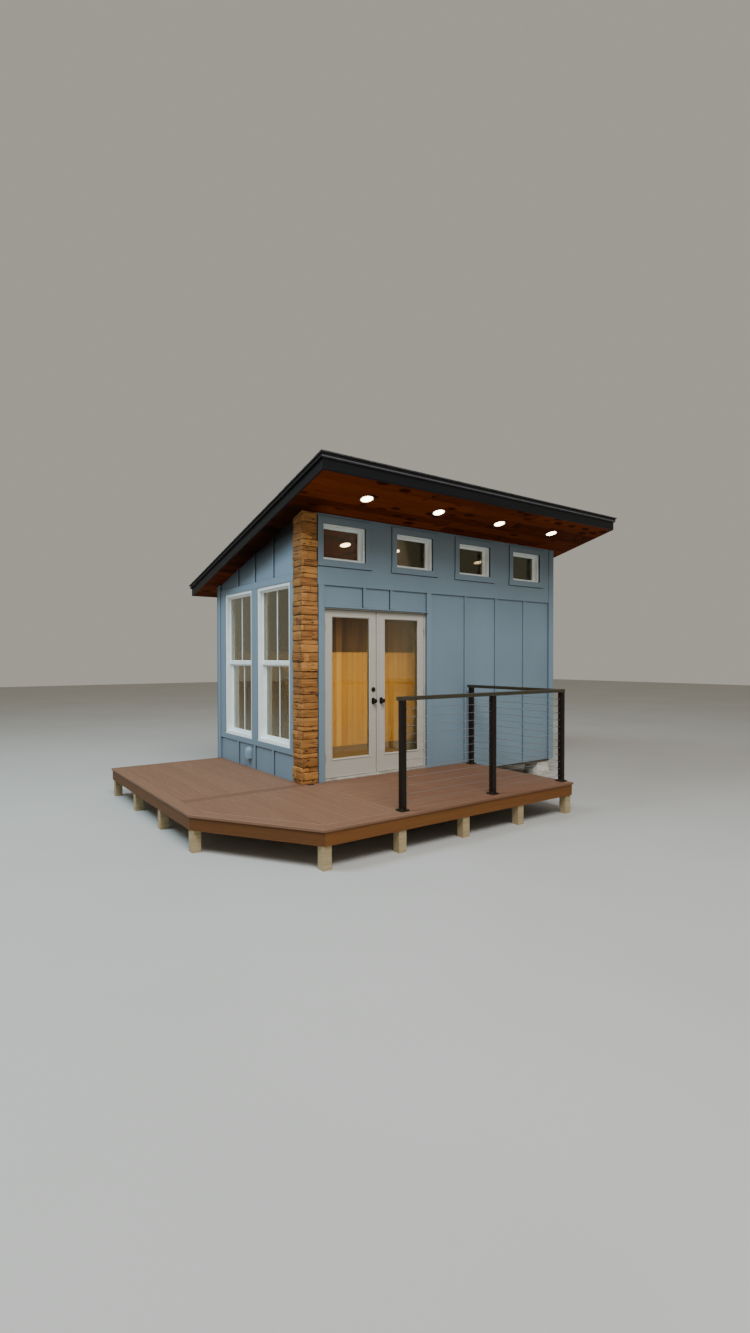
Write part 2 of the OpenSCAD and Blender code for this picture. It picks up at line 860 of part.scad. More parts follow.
// The middle knuckles belong to the leaf, and the outer ones to the door frame.
module leaf_hinges(x, side) {
    each_hinge(x, side) translate([0, 0, hinge_l / 3]) knuckle(hinge_l / 3, side);
}
module frame_hinges(x, side) {
    each_hinge(x, side) {
        knuckle(hinge_l / 3, -side);
        translate([0, 0, 2 * hinge_l / 3 + hinge_play]) knuckle(hinge_l / 3 - hinge_play, -side);
    }
}
module door_hinges() {
    color("dimgray") {
        at_left_leaf() frame_hinges(0, 1);
        at_right_leaf() frame_hinges(leaf_w, -1);
    }
}
module at_left_leaf() {
    translate([left_leaf_x, door_in, leaf_z]) children();
}
module at_right_leaf() {
    translate([right_leaf_x, door_in, leaf_z]) children();
}
module left_leaf() {
    color("lightgray") at_left_leaf() {
        leaf();
        leaf_hinges(0, 1);
    }
}
module right_leaf() {
    color("lightgray") at_right_leaf() {
        leaf();
        leaf_hinges(leaf_w, -1);
        box([-astragal_w, -astragal_proud, 0], [0, leaf_t, leaf_h]);
    }
}
module left_pane() {
    color("lightblue", 0.4) at_left_leaf() leaf_pane();
}
module right_pane() {
    color("lightblue", 0.4) at_right_leaf() leaf_pane();
}

// The knob's turned profile, as parts of its radius and of its length
knob_profile = [
    [0, 0], [0.46, 0], [0.39, 0.37], [0.64, 0.5], [0.93, 0.62], [1, 0.77], [0.86, 0.92], [0.5, 0.98], [0, 1],
];
// A turned knob on an oval plate, standing out of the outer face at the origin
module knob() {
    end = (rose_h - rose_w) / 2;
    rotate([90, 0, 0]) {
        linear_extrude(rose_t) union() {
            translate([0, end]) circle(d = rose_w);
            translate([0, -end]) circle(d = rose_w);
            square([rose_w, 2 * end], center = true);
        }
        rotate_extrude() polygon([for (p = knob_profile) [p[0] * knob_d / 2, p[1] * knob_out]]);
    }
}
module deadbolt() {
    rotate([90, 0, 0]) {
        cylinder(d = bolt_d, h = 0.6 * bolt_out);
        cylinder(d = 0.67 * bolt_d, h = bolt_out);
    }
}
module left_handle() {
    x = leaf_w - stile_w / 2;
    color("black") at_left_leaf() {
        translate([x, 0, deck_top + handle_z - leaf_z]) knob();
        translate([x, 0, deck_top + bolt_z - leaf_z]) deadbolt();
    }
}
module right_handle() {
    color("black") at_right_leaf()
        translate([stile_w / 2, 0, deck_top + handle_z - leaf_z]) knob();
}

// Children at each light outside and inside, square to the soffit
module each_light() {
    for (i = [0:clere_count - 1])
        at_soffit(clere_x + i * clere_pitch, -light_out) children();
    for (i = [0:inner_light_count - 1])
        at_soffit(inner_light_left + i * inner_light_pitch, inner_light_in) children();
}
module at_soffit(x, y) {
    translate([x, y, soffit_z(y)]) rotate([-roof_pitch, 0, 0]) children();
}
module soffit() {
    color("sienna") difference() {
        roof_layer(roof_x0 + fascia_t, roof_x1 - fascia_t, roof_y0 + fascia_t, roof_y1 - fascia_t,
            0, soffit_t);
        each_light() cylinder(d = light_d - 2 * light_ring, h = 4 * soffit_t, center = true);
    }
}
module soffit_lights() {
    color("ivory") each_light() {
        translate([0, 0, -light_proud]) cylinder(d = light_d, h = light_proud);
        cylinder(d = light_d - 2 * light_ring, h = soffit_t / 2);
    }
}
module rafters() {
    x0 = roof_x0 + fascia_t;
    x1 = roof_x1 - fascia_t - rafter_w;
    color("burlywood") for (x = within(x0, x1, rafter_pitch))
        roof_layer(x, x + rafter_w, roof_y0 + fascia_t, roof_y1 - fascia_t,
            soffit_t + seat, soffit_t + rafter_h);
}
module sheathing() {
    color("tan") roof_layer(roof_x0 + fascia_t, roof_x1 - fascia_t, roof_y0 + fascia_t, roof_y1 - fascia_t,
        soffit_t + rafter_h + seat, fascia_h);
}
module fascia() {
    color("darkslategray") roof_ring(0, fascia_t, 0, fascia_h);
}
module drip_edge() {
    color("black") roof_ring(drip_t, drip_t, fascia_h + drip_rise - drip_h, fascia_h + drip_rise);
    color("black") roof_ring(drip_t, drip_t + fascia_t, fascia_h + seat, fascia_h + drip_rise);
}
module shingles() {
    out = roof_edge;
    inner = fascia_t + seat;
    low = fascia_h + drip_rise + seat;
    color("dimgray") {
        roof_layer(roof_x0 - out, roof_x1 + out, roof_y0 - out, roof_y1 + out, low, low + shingle_t);
        roof_layer(roof_x0 + inner, roof_x1 - inner, roof_y0 + inner, roof_y1 - inner,
            fascia_h + seat, low + seat);
    }
}

module deck_posts() {
    half = deck_post_w / 2;
    line = deck_outline(deck_nose + deck_fascia_t + half);
    wall_x = line[5][0];
    wall_y = line[5][1];
    color("wheat") {
        for (x = spread(line[2][0], line[3][0], deck_post_count_x))
            for (y = [line[2][1], wall_y])
                if (y < wall_y || x > wall_x)
                    box([x - half, y - half, 0], [x + half, y + half, deck_joist_z]);
        for (y = spread(line[1][1], line[0][1], deck_post_count_y))
            for (x = [line[0][0], wall_x])
                if (x < wall_x || y > 0)
                    box([x - half, y - half, 0], [x + half, y + half, deck_joist_z]);
    }
}
module deck_joists() {
    rim = deck_nose + deck_fascia_t;
    color("burlywood") translate([0, 0, deck_joist_z]) linear_extrude(deck_joist_h) {
        difference() {
            polygon(deck_outline(rim));
            polygon(deck_outline(rim + joist_w));
        }
        intersection() {
            polygon(deck_outline(rim));
            union() {
                for (y = within(deck_y0 + rim, deck_y1 - rim, joist_pitch))
                    translate([deck_x0, y - joist_w / 2]) square([deck_left + deck_joint, joist_w]);
                for (x = within(deck_joint, deck_right - rim, joist_pitch))
                    translate([x - joist_w / 2, deck_y0]) square([joist_w, deck_front]);
            }
        }
    }
}
module deck_fascia() {
    color("saddlebrown") translate([0, 0, deck_joist_z]) linear_extrude(deck_joist_h) difference() {
        polygon(deck_outline(deck_nose));
        polygon(deck_outline(deck_nose + deck_fascia_t));
    }
}

// A part of the deck's surface, drawn in plan
module deck_plate() {
    color("rosybrown") translate([0, 0, deck_under]) linear_extrude(board_t) children();
}
module deck_border() {
    deck_plate() difference() {
        polygon(deck_outline(0));
        polygon(deck_field());
    }
}
// A rectangle of the deck's surface inside the border
module deck_patch(x0, y0, x1, y1) {
    deck_plate() intersection() {
        polygon(deck_field());
        polygon(deck_outline(0));
        translate([x0, y0]) square([x1 - x0, y1 - y0]);
    }
}
// The boards inside the border: left of the pod, at the corner, in front of the door, and the
// breaker board between the first two. Each field is one plate.
module deck_boards() {
    side = board_w + board_gap;
    left = deck_x0 + side;
    breaker = board_w / 2 - board_gap;
    deck_patch(left, breaker + board_gap, -deck_gap, deck_y1 - side);
    deck_patch(left, breaker - board_w, -deck_gap, breaker);
    deck_plate() intersection() {
        polygon(deck_field());
        polygon(deck_outline(side));
        translate([deck_x0, deck_y0]) square([deck_left + deck_joint, deck_front + breaker - side]);
    }
    deck_patch(deck_joint + board_gap, deck_y0 + side, deck_right - side, -deck_gap);
}

rail_posts_xy = [
    [rail_x, rail_front],
    [rail_mid, rail_front],
    [rail_line, rail_front],
    [rail_line, -rail_end],
];
rail_under = deck_top + rail_h - rail_t;
module rail_posts() {
    color("black") for (p = rail_posts_xy) translate([p[0], p[1], deck_top]) {
        translate([-plate_w / 2, -plate_w / 2, 0]) cube([plate_w, plate_w, plate_t]);
        translate([-post_w / 2, -post_w / 2, 0]) cube([post_w, post_w, rail_under - deck_top]);
    }
}
module rail_top() {
    half = rail_w / 2;
    end_x = rail_x - post_w / 2 - rail_past;
    end_y = -rail_end + post_w / 2 + rail_past;
    color("black") translate([0, 0, rail_under]) linear_extrude(rail_t) polygon([
        [end_x, rail_front - half],
        [rail_line + half, rail_front - half],
        [rail_line + half, end_y],
        [rail_line - half, end_y],
        [rail_line - half, rail_front + half],
        [end_x, rail_front + half],
    ]);
}
// One cable from a post to the next, with a fitting at each end that has one
module cable(length, start, end) {
    rotate([0, 90, 0]) {
        cylinder(d = cable_d, h = length, $fn = 16);
        if (start) cylinder(d = fitting_d, h = fitting_l, $fn = 16);
        if (end) translate([0, 0, length - fitting_l]) cylinder(d = fitting_d, h = fitting_l, $fn = 16);
    }
}
// Children at the height of each cable
module each_cable() {
    for (i = [1:cable_count]) translate([0, 0, rail_under - i * cable_pitch]) children();
}
module cables() {
    half = post_w / 2;
    color("silver") each_cable() {
        translate([rail_x + half, rail_front, 0]) cable(rail_mid - rail_x - post_w, true, false);
        translate([rail_mid + half, rail_front, 0]) cable(rail_line - rail_mid - post_w, false, true);
        translate([rail_line, rail_front + half, 0])
            rotate([0, 0, 90]) cable(-rail_end - rail_front - post_w, true, true);
    }
}

// Children moved so that the origin is at the middle of the footprint
module placed() {
    translate([-mid_x, -mid_y, 0]) children();
}
placed() pier_blocks();
placed() floor_frame();
placed() floor_panel();
placed() front_wall_left();
placed() front_wall_right();
placed() front_wall_top();
placed() left_wall();
placed() right_wall();
placed() back_wall();
placed() front_trim();
placed() left_trim();
placed() right_trim();
placed() back_trim();
placed() frieze();
placed() clerestory_casings();
placed() clerestory_frames();
placed() side_window_frames();
placed() side_window_sashes();
placed() window_glass();
placed() stacked_corner();
placed() vent_hood();
placed() door_frame();
placed() threshold();
placed() door_hinges();
placed() left_leaf();
placed() left_pane();
placed() left_handle();
placed() right_leaf();
placed() right_pane();
placed() right_handle();
placed() soffit();
placed() soffit_lights();
placed() rafters();
placed() sheathing();
placed() fascia();
placed() drip_edge();
placed() shingles();
placed() deck_posts();
placed() deck_joists();
placed() deck_fascia();
placed() deck_border();
placed() deck_boards();
placed() rail_posts();
placed() rail_top();
placed() cables();
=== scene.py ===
"""Looks of the garden office pod: boards, timbers, windows, doors, roof, deck and railing.

Lengths are millimetres in the pod's own frame, with the origin on the ground at the front left
corner of the siding, X along the front wall, Y into the pod and Z up. metres() turns them into
the model's frame.
"""

import math

import bpy
import numpy as np
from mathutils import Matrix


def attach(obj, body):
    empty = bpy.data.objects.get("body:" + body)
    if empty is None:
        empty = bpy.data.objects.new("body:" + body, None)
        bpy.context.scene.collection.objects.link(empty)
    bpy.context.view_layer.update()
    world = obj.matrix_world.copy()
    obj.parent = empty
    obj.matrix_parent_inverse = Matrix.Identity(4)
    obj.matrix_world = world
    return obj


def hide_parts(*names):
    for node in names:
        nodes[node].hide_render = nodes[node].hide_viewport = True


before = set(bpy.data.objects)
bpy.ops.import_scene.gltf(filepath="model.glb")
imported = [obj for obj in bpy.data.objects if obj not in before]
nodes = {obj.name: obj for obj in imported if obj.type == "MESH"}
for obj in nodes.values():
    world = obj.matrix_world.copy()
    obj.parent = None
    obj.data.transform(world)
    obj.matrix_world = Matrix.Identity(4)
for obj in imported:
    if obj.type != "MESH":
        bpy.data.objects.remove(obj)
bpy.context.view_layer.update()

# Sizes that this script shares with the construction model
ORIGIN = np.array([1663.0, 629.0, 0.0])
POD_W = 4500.0
POD_D = 2530.0
DECK = 365.0
SOFFIT = 3190.0
SLOPE = math.tan(math.radians(14.1))
SIDING_FOOT = -124.0
FRIEZE_Z = 2353.0
FRIEZE_T = 20.0
DOOR_X = 280.0
DOOR_W = 1600.0
DOOR_H = 2090.0
LEAF_W = 754.0
LEAF_H = 2033.0
LEAF_Z = 30.0
LEFT_LEAF_X = 307.0
RIGHT_LEAF_X = 1099.0
LEAF_Y = 12.0
HALF_BATTEN = 22.0
BATTEN_T = 18.0
TRIM_T = 32.0
CORNER_W = 76.0
DOOR_CASINGS = ((196.0, 280.0), (1880.0, 1958.0))
OVER_DOOR = 211.0
FRONT_BATTENS = (2612.0, 3232.0, 3852.0)
HEAD_H = 88.0
APRON_H = 74.0
ROOF_X0, ROOF_Y0, ROOF_X1, ROOF_Y1 = -262.0, -886.0, 4845.0, 2997.0
ROOF_EDGE = 36.0
FASCIA_T = 19.0
FASCIA_H = 151.0
SHINGLES_UNDER = 159.1
TO_WEATHER = 143.0
CLERE_X = [572.0 + 1107.0 * i for i in range(4)]
CLERE_W = 614.0
CLERE_H = 430.0
CLERE_Z = 2655.0
CASING_W = 80.0
INNER_LIGHTS = [(1051.0 + 849.0 * i, 700.0) for i in range(4)]
SIDE_Y = (748.0, 1833.0)
SIDE_W = 906.0
SIDE_H = 2011.0
SIDE_Z = 389.0
STACK_X = 188.0
STACK_Y = 205.0
DECK_LEFT = -1555.0
DECK_FRONT = -1775.0
DECK_RIGHT = 2667.0
DECK_BACK = 2485.0
CUT_X = 775.0
CUT_Y = 1205.0
BOARD_W = 140.0
BOARD_GAP = 5.0
BOARD_T = 25.0
DECK_GAP = 6.0
DECK_JOINT = 120.0
FASCIA_DROP = 150.0
RAIL_H = 1106.0
RAIL_T = 38.0
RAIL_W = 62.0
RAIL_FRONT = -1640.0
RAIL_LINE = 2611.0
RAIL_POSTS = [(x, RAIL_FRONT) for x in (177.0, 1430.0, RAIL_LINE)] + [(RAIL_LINE, -130.0)]
POST_W = 57.0
CABLE_PITCH = 83.0
CABLES = 12
VENT_Y, VENT_Z, VENT_R, VENT_OUT = 1470.5, 203.0, 62.0, 74.0

X, Y, Z = np.eye(3)
ALONG_U, ALONG_V = (1.0, 0.0), (0.0, 1.0)
# Joint value of the arrises, which finishes make paler for wear and a painted glint
ARRIS_WEAR_AND_GLINT = -0.6

random = np.random.default_rng(20)


def metres(points):
    """Pod millimetres to metres in the model's frame."""
    return (np.asarray(points, float) - ORIGIN) / 1000.0


def soffit_z(y):
    """Height of the soffit's underside at y: it falls by the slope from the front to the back."""
    return DECK + SOFFIT - y * SLOPE


# Camera and lamps


def add_camera():
    """The photograph's viewpoint: eye height on the lawn, off the front left corner."""
    data = bpy.data.cameras.new("Camera")
    data.sensor_fit = "VERTICAL"
    data.sensor_height = 36.0
    data.lens = 16.498
    data.clip_end = 200.0
    camera = bpy.data.objects.new("Camera", data)
    camera.location = (-5.1626, -6.8897, 1.8365)
    camera.rotation_euler = (math.radians(90.0 - 0.726), math.radians(0.059), math.radians(-35.933))
    bpy.context.scene.collection.objects.link(camera)
    bpy.context.scene.camera = camera


def add_lamp(name, energy, colour, size, place, target):
    """A square area lamp at place, turned to shine at target."""
    data = bpy.data.lights.new(name, "AREA")
    data.energy = energy
    data.color = colour
    data.size = size
    lamp = bpy.data.objects.new(name, data)
    lamp.location = place
    away = np.array(place, float) - np.array(target, float)
    turn = math.atan2(away[1], away[0]) + math.pi / 2
    lamp.rotation_euler = (math.acos(away[2] / np.linalg.norm(away)), 0.0, turn)
    bpy.context.scene.collection.objects.link(lamp)
    return data


# Shapes. A part is (points, face arrays, grain, tone, joint): grain holds metres along, across and
# into a board, tone is one number for the whole part, and joint is 1 where a board meets what is
# behind it, 0 on its face and less than 0 along its arrises. Finishes paint shade where joint is
# over 0, and paler arrises, for wear and a painted glint, where it is under 0.


def outward(points, faces):
    """Turns the faces of a closed skin outwards, if its volume summed face by face is negative."""
    volume = 0.0
    for face in faces:
        for i in range(1, face.shape[1] - 1):
            crossed = np.cross(points[face[:, i]], points[face[:, i + 1]])
            volume += np.einsum("ij,ij->", points[face[:, 0]], crossed)
    return faces if volume > 0 else [face[:, ::-1] for face in faces]


def loft(rings, closed=False, grain=None, joint=None):
    """A skin over k rings of n points: quads join point i of each ring to point i of the next.
    The end rings are capped, or joined to each other when closed."""
    rings = np.asarray(rings, float)
    k, n = rings.shape[:2]
    index = np.arange(k * n).reshape(k, n)
    low = index if closed else index[:-1]
    high = np.roll(index, -1, axis=0) if closed else index[1:]
    quads = np.stack([low, np.roll(low, -1, axis=1), np.roll(high, -1, axis=1), high], axis=-1)
    faces = [quads.reshape(-1, 4)]
    if not closed:
        faces += [index[:1, ::-1], index[-1:]]
    points = rings.reshape(-1, 3)
    grain = points / 1000.0 if grain is None else grain.reshape(-1, 3)
    joint = np.zeros(len(points)) if joint is None else joint.ravel()
    faces = outward(points - points.mean(axis=0), faces)
    return points, faces, grain, np.full(len(points), random.random()), joint


def inset(outline, distance):
    """A convex outline, anticlockwise, with every edge moved in by the distance: each corner
    moves along the sum of its two edge normals, divided by one plus their dot product."""
    edge = np.roll(outline, -1, axis=0) - outline
    normal = np.stack([-edge[:, 1], edge[:, 0]], axis=1) / np.linalg.norm(edge, axis=1)[:, None]
    before = np.roll(normal, 1, axis=0)
    share = 1.0 + np.sum(normal * before, axis=1)
    return outline + distance * (normal + before) / share[:, None]


def anticlockwise(outline):
    """The outline in anticlockwise order, by the sign of its shoelace area."""
    outline = np.asarray(outline, float)
    after = np.roll(outline, -1, axis=0)
    area = np.sum(outline[:, 0] * after[:, 1] - after[:, 0] * outline[:, 1])
    return outline if area > 0 else outline[::-1]


def board(outline, low, high, place, chamfer=2.0, along=ALONG_U, nailed=1.0, caulk=0.0):
    """A board: a convex outline (u, v) carried from depth low to high, whose outer face is drawn
    in by the chamfer. place turns (u, v, depth) into pod millimetres, nailed says how dark the
    painted shade makes its sides where they meet what is behind, and caulk is the width of a line
    of caulk round its foot, dark with the same painted shade."""
    outline = anticlockwise(outline)
    arris = inset(outline, chamfer * 0.05)
    foot = inset(outline, -caulk)
    rise = (high - low) * 0.05
    levels = [(foot, low), (foot, low + rise * 0.8), (outline, low + rise)]
    levels += [(outline, high - chamfer), (arris, high - chamfer * 0.95)]
    levels.append((inset(outline, chamfer), high))
    uv = np.array([ring for ring, _ in levels])
    depth = np.array([np.full(len(outline), level) for _, level in levels])
    along = np.array(along, float) / np.linalg.norm(along)
    across = np.array([-along[1], along[0]])
    grain = np.stack([uv @ along, uv @ across, depth], axis=-1) / 1000.0 + random.random(3) * 40.0
    # Painted shade on the sides towards the foot, and the arris paler for wear and a painted glint
    joint = np.array([1.0, 1.0, 1.0, 0.6, 0.0, 0.0]) * nailed
    joint[4] = ARRIS_WEAR_AND_GLINT
    joint = joint[:, None] * np.ones(len(outline))
    return loft(place(uv[..., 0], uv[..., 1], depth), grain=grain, joint=joint)


def rect(u0, v0, u1, v1):
    """The corners of a rectangle."""
    return np.array([[u0, v0], [u1, v0], [u1, v1], [u0, v1]])


def cut(outline, start, end):
    """What lies to the left of the line from start to end: corners on that side stay, and one is
    added wherever an edge crosses the line."""
    start, end = np.array(start), np.array(end)
    line = end - start
    side = (outline - start) @ np.array([-line[1], line[0]])
    kept = []
    for i, corner in enumerate(outline):
        j = (i + 1) % len(outline)
        if side[i] >= 0:
            kept.append(corner)
        if side[i] * side[j] < 0:
            kept.append(corner + (outline[j] - corner) * side[i] / (side[i] - side[j]))
    return np.array(kept)


def plane(along, up, out, origin=(0.0, 0.0, DECK)):
    """The place (u, v, w) on a plane in pod millimetres, by the directions of u, v and w and the
    point where they start."""
    axes = np.array([along, up, out], float)
    return lambda u, v, w: np.array(origin, float) + np.stack([u, v, w], axis=-1) @ axes


on_front = plane(X, Z, -Y)
on_left = plane(Y, Z, -X)
on_right = plane(Y, Z, X, (POD_W, 0.0, DECK))
on_back = plane(X, Z, Y, (0.0, POD_D, DECK))
on_deck = plane(X, Y, Z)
under_roof = plane(X, Y - SLOPE * Z, -Z, (0.0, 0.0, DECK + SOFFIT))
on_roof = plane(X, Y - SLOPE * Z, Z, (0.0, 0.0, DECK + SOFFIT))
into_front = plane(X, Z, Y)
into_left = plane(Y, Z, X)


def rounded(width, height, radius, steps=3):
    """A rectangle with four quarter circles for corners, anticlockwise about the origin."""
    turn = np.linspace(0.0, math.pi / 2, steps + 1)
    turns = np.concatenate([turn + quarter * math.pi / 2 for quarter in range(4)])
    side_u = np.repeat([1, -1, -1, 1], steps + 1) * (width / 2 - radius)
    side_v = np.repeat([1, 1, -1, -1], steps + 1) * (height / 2 - radius)
    return np.stack([side_u + radius * np.cos(turns), side_v + radius * np.sin(turns)], axis=1)


def circle(radius, steps):
    """Points at even turns round the origin."""
    turns = np.arange(steps) * 2 * math.pi / steps
    return radius * np.stack([np.cos(turns), np.sin(turns)], axis=1)


def upright(outlines, levels, centre):
    """Rings for a loft: outline i at height i, moved to the centre."""
    rings = [np.column_stack([ring, np.full(len(ring), z)]) for ring, z in zip(outlines, levels)]
    return np.array(rings) + np.array(centre, float)


def turned(profile, origin, axis, side, steps=32, closed=False):
    """A turned piece: each (radius, distance) is a ring round the axis at that distance."""
    axis, side = np.array(axis, float), np.array(side, float)
    ring = circle(1.0, steps)
    around = ring[:, :1] * side + ring[:, 1:] * np.cross(axis, side)
    radius, distance = np.array(profile, float).T[:, :, None, None]
    return loft(np.array(origin, float) + radius * around + distance * axis, closed)


def straight(profile, start, end, place, joint=None):
    """A profile (u, v) carried straight from one depth to another."""
    u, v = np.array(profile, float).T
    return loft([place(u, v, np.full(len(u), w)) for w in (start, end)], joint=joint)


def framed(section, low_corner, high_corner, place, extra=(0.0, 0.0, 0.0, 0.0)):
    """A mitred frame: each (inset, depth) of its section is the rectangle between the corners,
    drawn in by the inset, and neighbouring rectangles are joined. extra draws the left, lower,
    right and upper sides in further, wherever the inset is more than 8 mm."""
    (u0, v0), (u1, v1) = low_corner, high_corner
    rings = []
    for step, depth in section:
        more = np.array(extra) if step > 8.0 else np.zeros(4)
        drawn = more + step
        ring = rect(u0 + drawn[0], v0 + drawn[1], u1 - drawn[2], v1 - drawn[3])
        rings.append(place(ring[:, 0], ring[:, 1], np.full(4, depth)))
    return loft(rings, closed=True)


def swept(section, path):
    """A section (across, up) carried along a level path with mitred corners: at each corner the
    across direction is the bisector of the two legs, stretched by one over the cosine of half
    the turn."""
    path = np.asarray(path, float)
    leg = np.diff(path, axis=0)
    leg /= np.linalg.norm(leg, axis=1)[:, None]
    normal = np.stack([-leg[:, 1], leg[:, 0]], axis=1)
    first, last = normal[:1], normal[-1:]
    middle = normal[:-1] + normal[1:]
    middle /= 1.0 + np.sum(normal[:-1] * normal[1:], axis=1)[:, None]
    across = np.concatenate([first, middle, last])
    flat = path[:, None, :2] + across[:, None, :] * section[None, :, :1]
    up = path[:, None, 2:] + section[None, :, 1:]
    return loft(np.concatenate([flat, up], axis=-1))


def make(name, parts, finish, hides=(), body="pod", smooth=0.0):
    """One piece from its parts, on a body, with the grain, tone and joint of every point kept as
    attributes. Edges flatter than the angle smooth are shaded round."""
    faces, count = [], 0
    for part in parts:
        for face in part[1]:
            faces += (face + count).tolist()
        count += len(part[0])
    points, grain, tone, joint = [np.concatenate([part[i] for part in parts]) for i in (0, 2, 3, 4)]
    mesh = bpy.data.meshes.new(name)
    mesh.from_pydata(metres(points).tolist(), [], faces)
    layer = mesh.attributes.new("grain", "FLOAT_VECTOR", "POINT")
    layer.data.foreach_set("vector", grain.ravel())
    for label, values in (("tone", tone), ("joint", joint)):
        layer = mesh.attributes.new(label, "FLOAT", "POINT")
        layer.data.foreach_set("value", values)
    if smooth:
        mesh.shade_smooth()
        mesh.set_sharp_from_angle(angle=math.radians(smooth))
    mesh.materials.append(finish)
    piece = bpy.data.objects.new(name, mesh)
    bpy.context.scene.collection.objects.link(piece)
    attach(piece, body)
    if hides:
        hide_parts(*hides)


# Finishes


def linear(colour):
    """An sRGB hex colour as linear RGBA."""
    channel = np.array([int(colour[i : i + 2], 16) for i in (1, 3, 5)]) / 255.0
    value = np.where(channel <= 0.04045, channel / 12.92, ((channel + 0.055) / 1.055) ** 2.4)
    return (*value.tolist(), 1.0)


def toned(colour, gain):
    """A hex colour made lighter or darker by a gain."""
    channel = [min(255, round(int(colour[i : i + 2], 16) * gain)) for i in (1, 3, 5)]
    return "#%02X%02X%02X" % tuple(channel)


def add(tree, kind, *inputs, out=0, sockets=(), **settings):
    """Adds a node, whose kind may be followed by its operation, and gives one of its outputs.
    inputs fills its sockets in turn, and sockets fills them by name or number: an output of
    another node is linked, a hex colour is made linear, and anything else is set."""
    kind, _, operation = kind.partition(" ")
    made = tree.nodes.new("ShaderNode" + kind)
    if operation:
        made.operation = operation
    for key, value in settings.items():
        setattr(made, key, value)
    for key, value in [*enumerate(inputs), *dict(sockets).items()]:
        if isinstance(value, bpy.types.NodeSocket):
            tree.links.new(value, made.inputs[key])
        else:
            made.inputs[key].default_value = linear(value) if isinstance(value, str) else value
    return made.outputs[out]


def new_finish(name, values=()):
    """A material with the shader values given, its node tree, and the place in the model's frame
    in metres."""
    material = bpy.data.materials.new(name)
    material.use_nodes = True
    tree = material.node_tree
    for key, value in dict(values).items():
        tree.nodes["Principled BSDF"].inputs[key].default_value = value
    return material, tree, add(tree, "TexCoord", out="Object")


def finished(material, colour, height=None, depth=0.0, rough=None):
    """Gives a material its colour, its roughness where that varies, and relief of a real depth in
    metres, from a height between 0 and 1."""
    tree = material.node_tree
    shader = tree.nodes["Principled BSDF"].inputs
    tree.links.new(colour, shader["Base Color"])
    if rough:
        tree.links.new(rough, shader["Roughness"])
    if height:
        relief = {"Strength": 1.0, "Distance": depth, "Height": height}
        tree.links.new(add(tree, "Bump", sockets=relief), shader["Normal"])
    return material


def layered(tree, colour, *layers):
    """A colour with others laid over it in turn, each given by its share and the colour."""
    for share, over in layers:
        colour = add(tree, "Mix", share, sockets={6: colour, 7: over}, out=2, data_type="RGBA")
    return colour


def pattern(tree, place, scale, detail=5.0, distortion=0.0):
    """Noise with so many cells to the metre, on all axes or on each."""
    spread = np.broadcast_to(scale, 3).tolist()
    moved = add(tree, "Mapping", sockets={"Vector": place, "Scale": spread})
    values = {"Vector": moved, "Scale": 1.0, "Detail": detail, "Distortion": distortion}
    return add(tree, "TexNoise", sockets=values)


def painted_eave_shade(tree, place):
    """How much painted shade darkens the paint under the roof's edges: nearly black under the
    roof's left edge by the stack, fading over 0.3 m below the soffit and towards the back, and a
    quarter under the front overhang, fading over 1.3 m."""
    x, y, z = add(tree, "SeparateXYZ", place).node.outputs
    depth = add(tree, "Math ADD", y, ORIGIN[1] / 1000.0)
    below = add(tree, "Math MULTIPLY_ADD", depth, 0.12 - SLOPE, (DECK + SOFFIT) / 1000.0)
    below = add(tree, "Math SUBTRACT", below, z)
    left = add(tree, "MapRange", x, metres(2.0 * X)[0], metres(6.0 * X)[0], 1.0, 0.0)
    left = add(tree, "Math MULTIPLY", add(tree, "MapRange", below, 0.14, 0.48, 0.97, 0.0), left)
    front = add(tree, "MapRange", depth, 0.002, 0.006, 1.0, 0.0)
    front = add(tree, "Math MULTIPLY", add(tree, "MapRange", below, 0.1, 1.4, 0.26, 0.0), front)
    return add(tree, "Math MAXIMUM", left, front)


def painted_rake_shade(tree, place):
    """Where painted shade darkens the soffit: 1 beside the left wall, fading towards the roof's
    edge, front and back.
    """
    x, y, _ = add(tree, "SeparateXYZ", place).node.outputs
    away = add(tree, "Math ABSOLUTE", add(tree, "Math SUBTRACT", x, metres(-70.0 * X)[0]))
    beside = add(tree, "MapRange", away, 0.11, 0.36, 1.0, 0.0)
    depth = add(tree, "Math ADD", y, ORIGIN[1] / 1000.0)
    front = add(tree, "MapRange", depth, -0.45, -0.1)
    along = add(tree, "Math MULTIPLY", front, add(tree, "MapRange", depth, 1.4, 2.3, 1.0, 0.0))
    return add(tree, "Math MULTIPLY", beside, along)


def painted_stack_shade(tree, place):
    """How much painted shade darkens the left face of the stack: two fifths under the soffit,
    fading over the next 2 m down."""
    facing = add(tree, "SeparateXYZ", add(tree, "NewGeometry", out="Normal"), out="X")
    height = add(tree, "SeparateXYZ", place, out="Z")
    top = (DECK + SOFFIT) / 1000.0
    fall = add(tree, "MapRange", height, top - 2.4, top - 0.4, 0.05, 0.42)
    return add(tree, "Math MULTIPLY", add(tree, "MapRange", facing, -0.7, -0.3, 1.0, 0.0), fall)


def painted_warm_light(tree, place):
    """Painted warm light on the front deck: 1 to the right of the door's middle, growing over 1 m,
    and half of it is lost towards the right end."""
    x = add(tree, "Math ADD", add(tree, "SeparateXYZ", place, out="X"), ORIGIN[0] / 1000.0)
    ends = add(tree, "MapRange", x, 1.9, 2.6, 1.0, 0.5)
    return add(tree, "Math MULTIPLY", add(tree, "MapRange", x, 0.0, 1.0), ends)


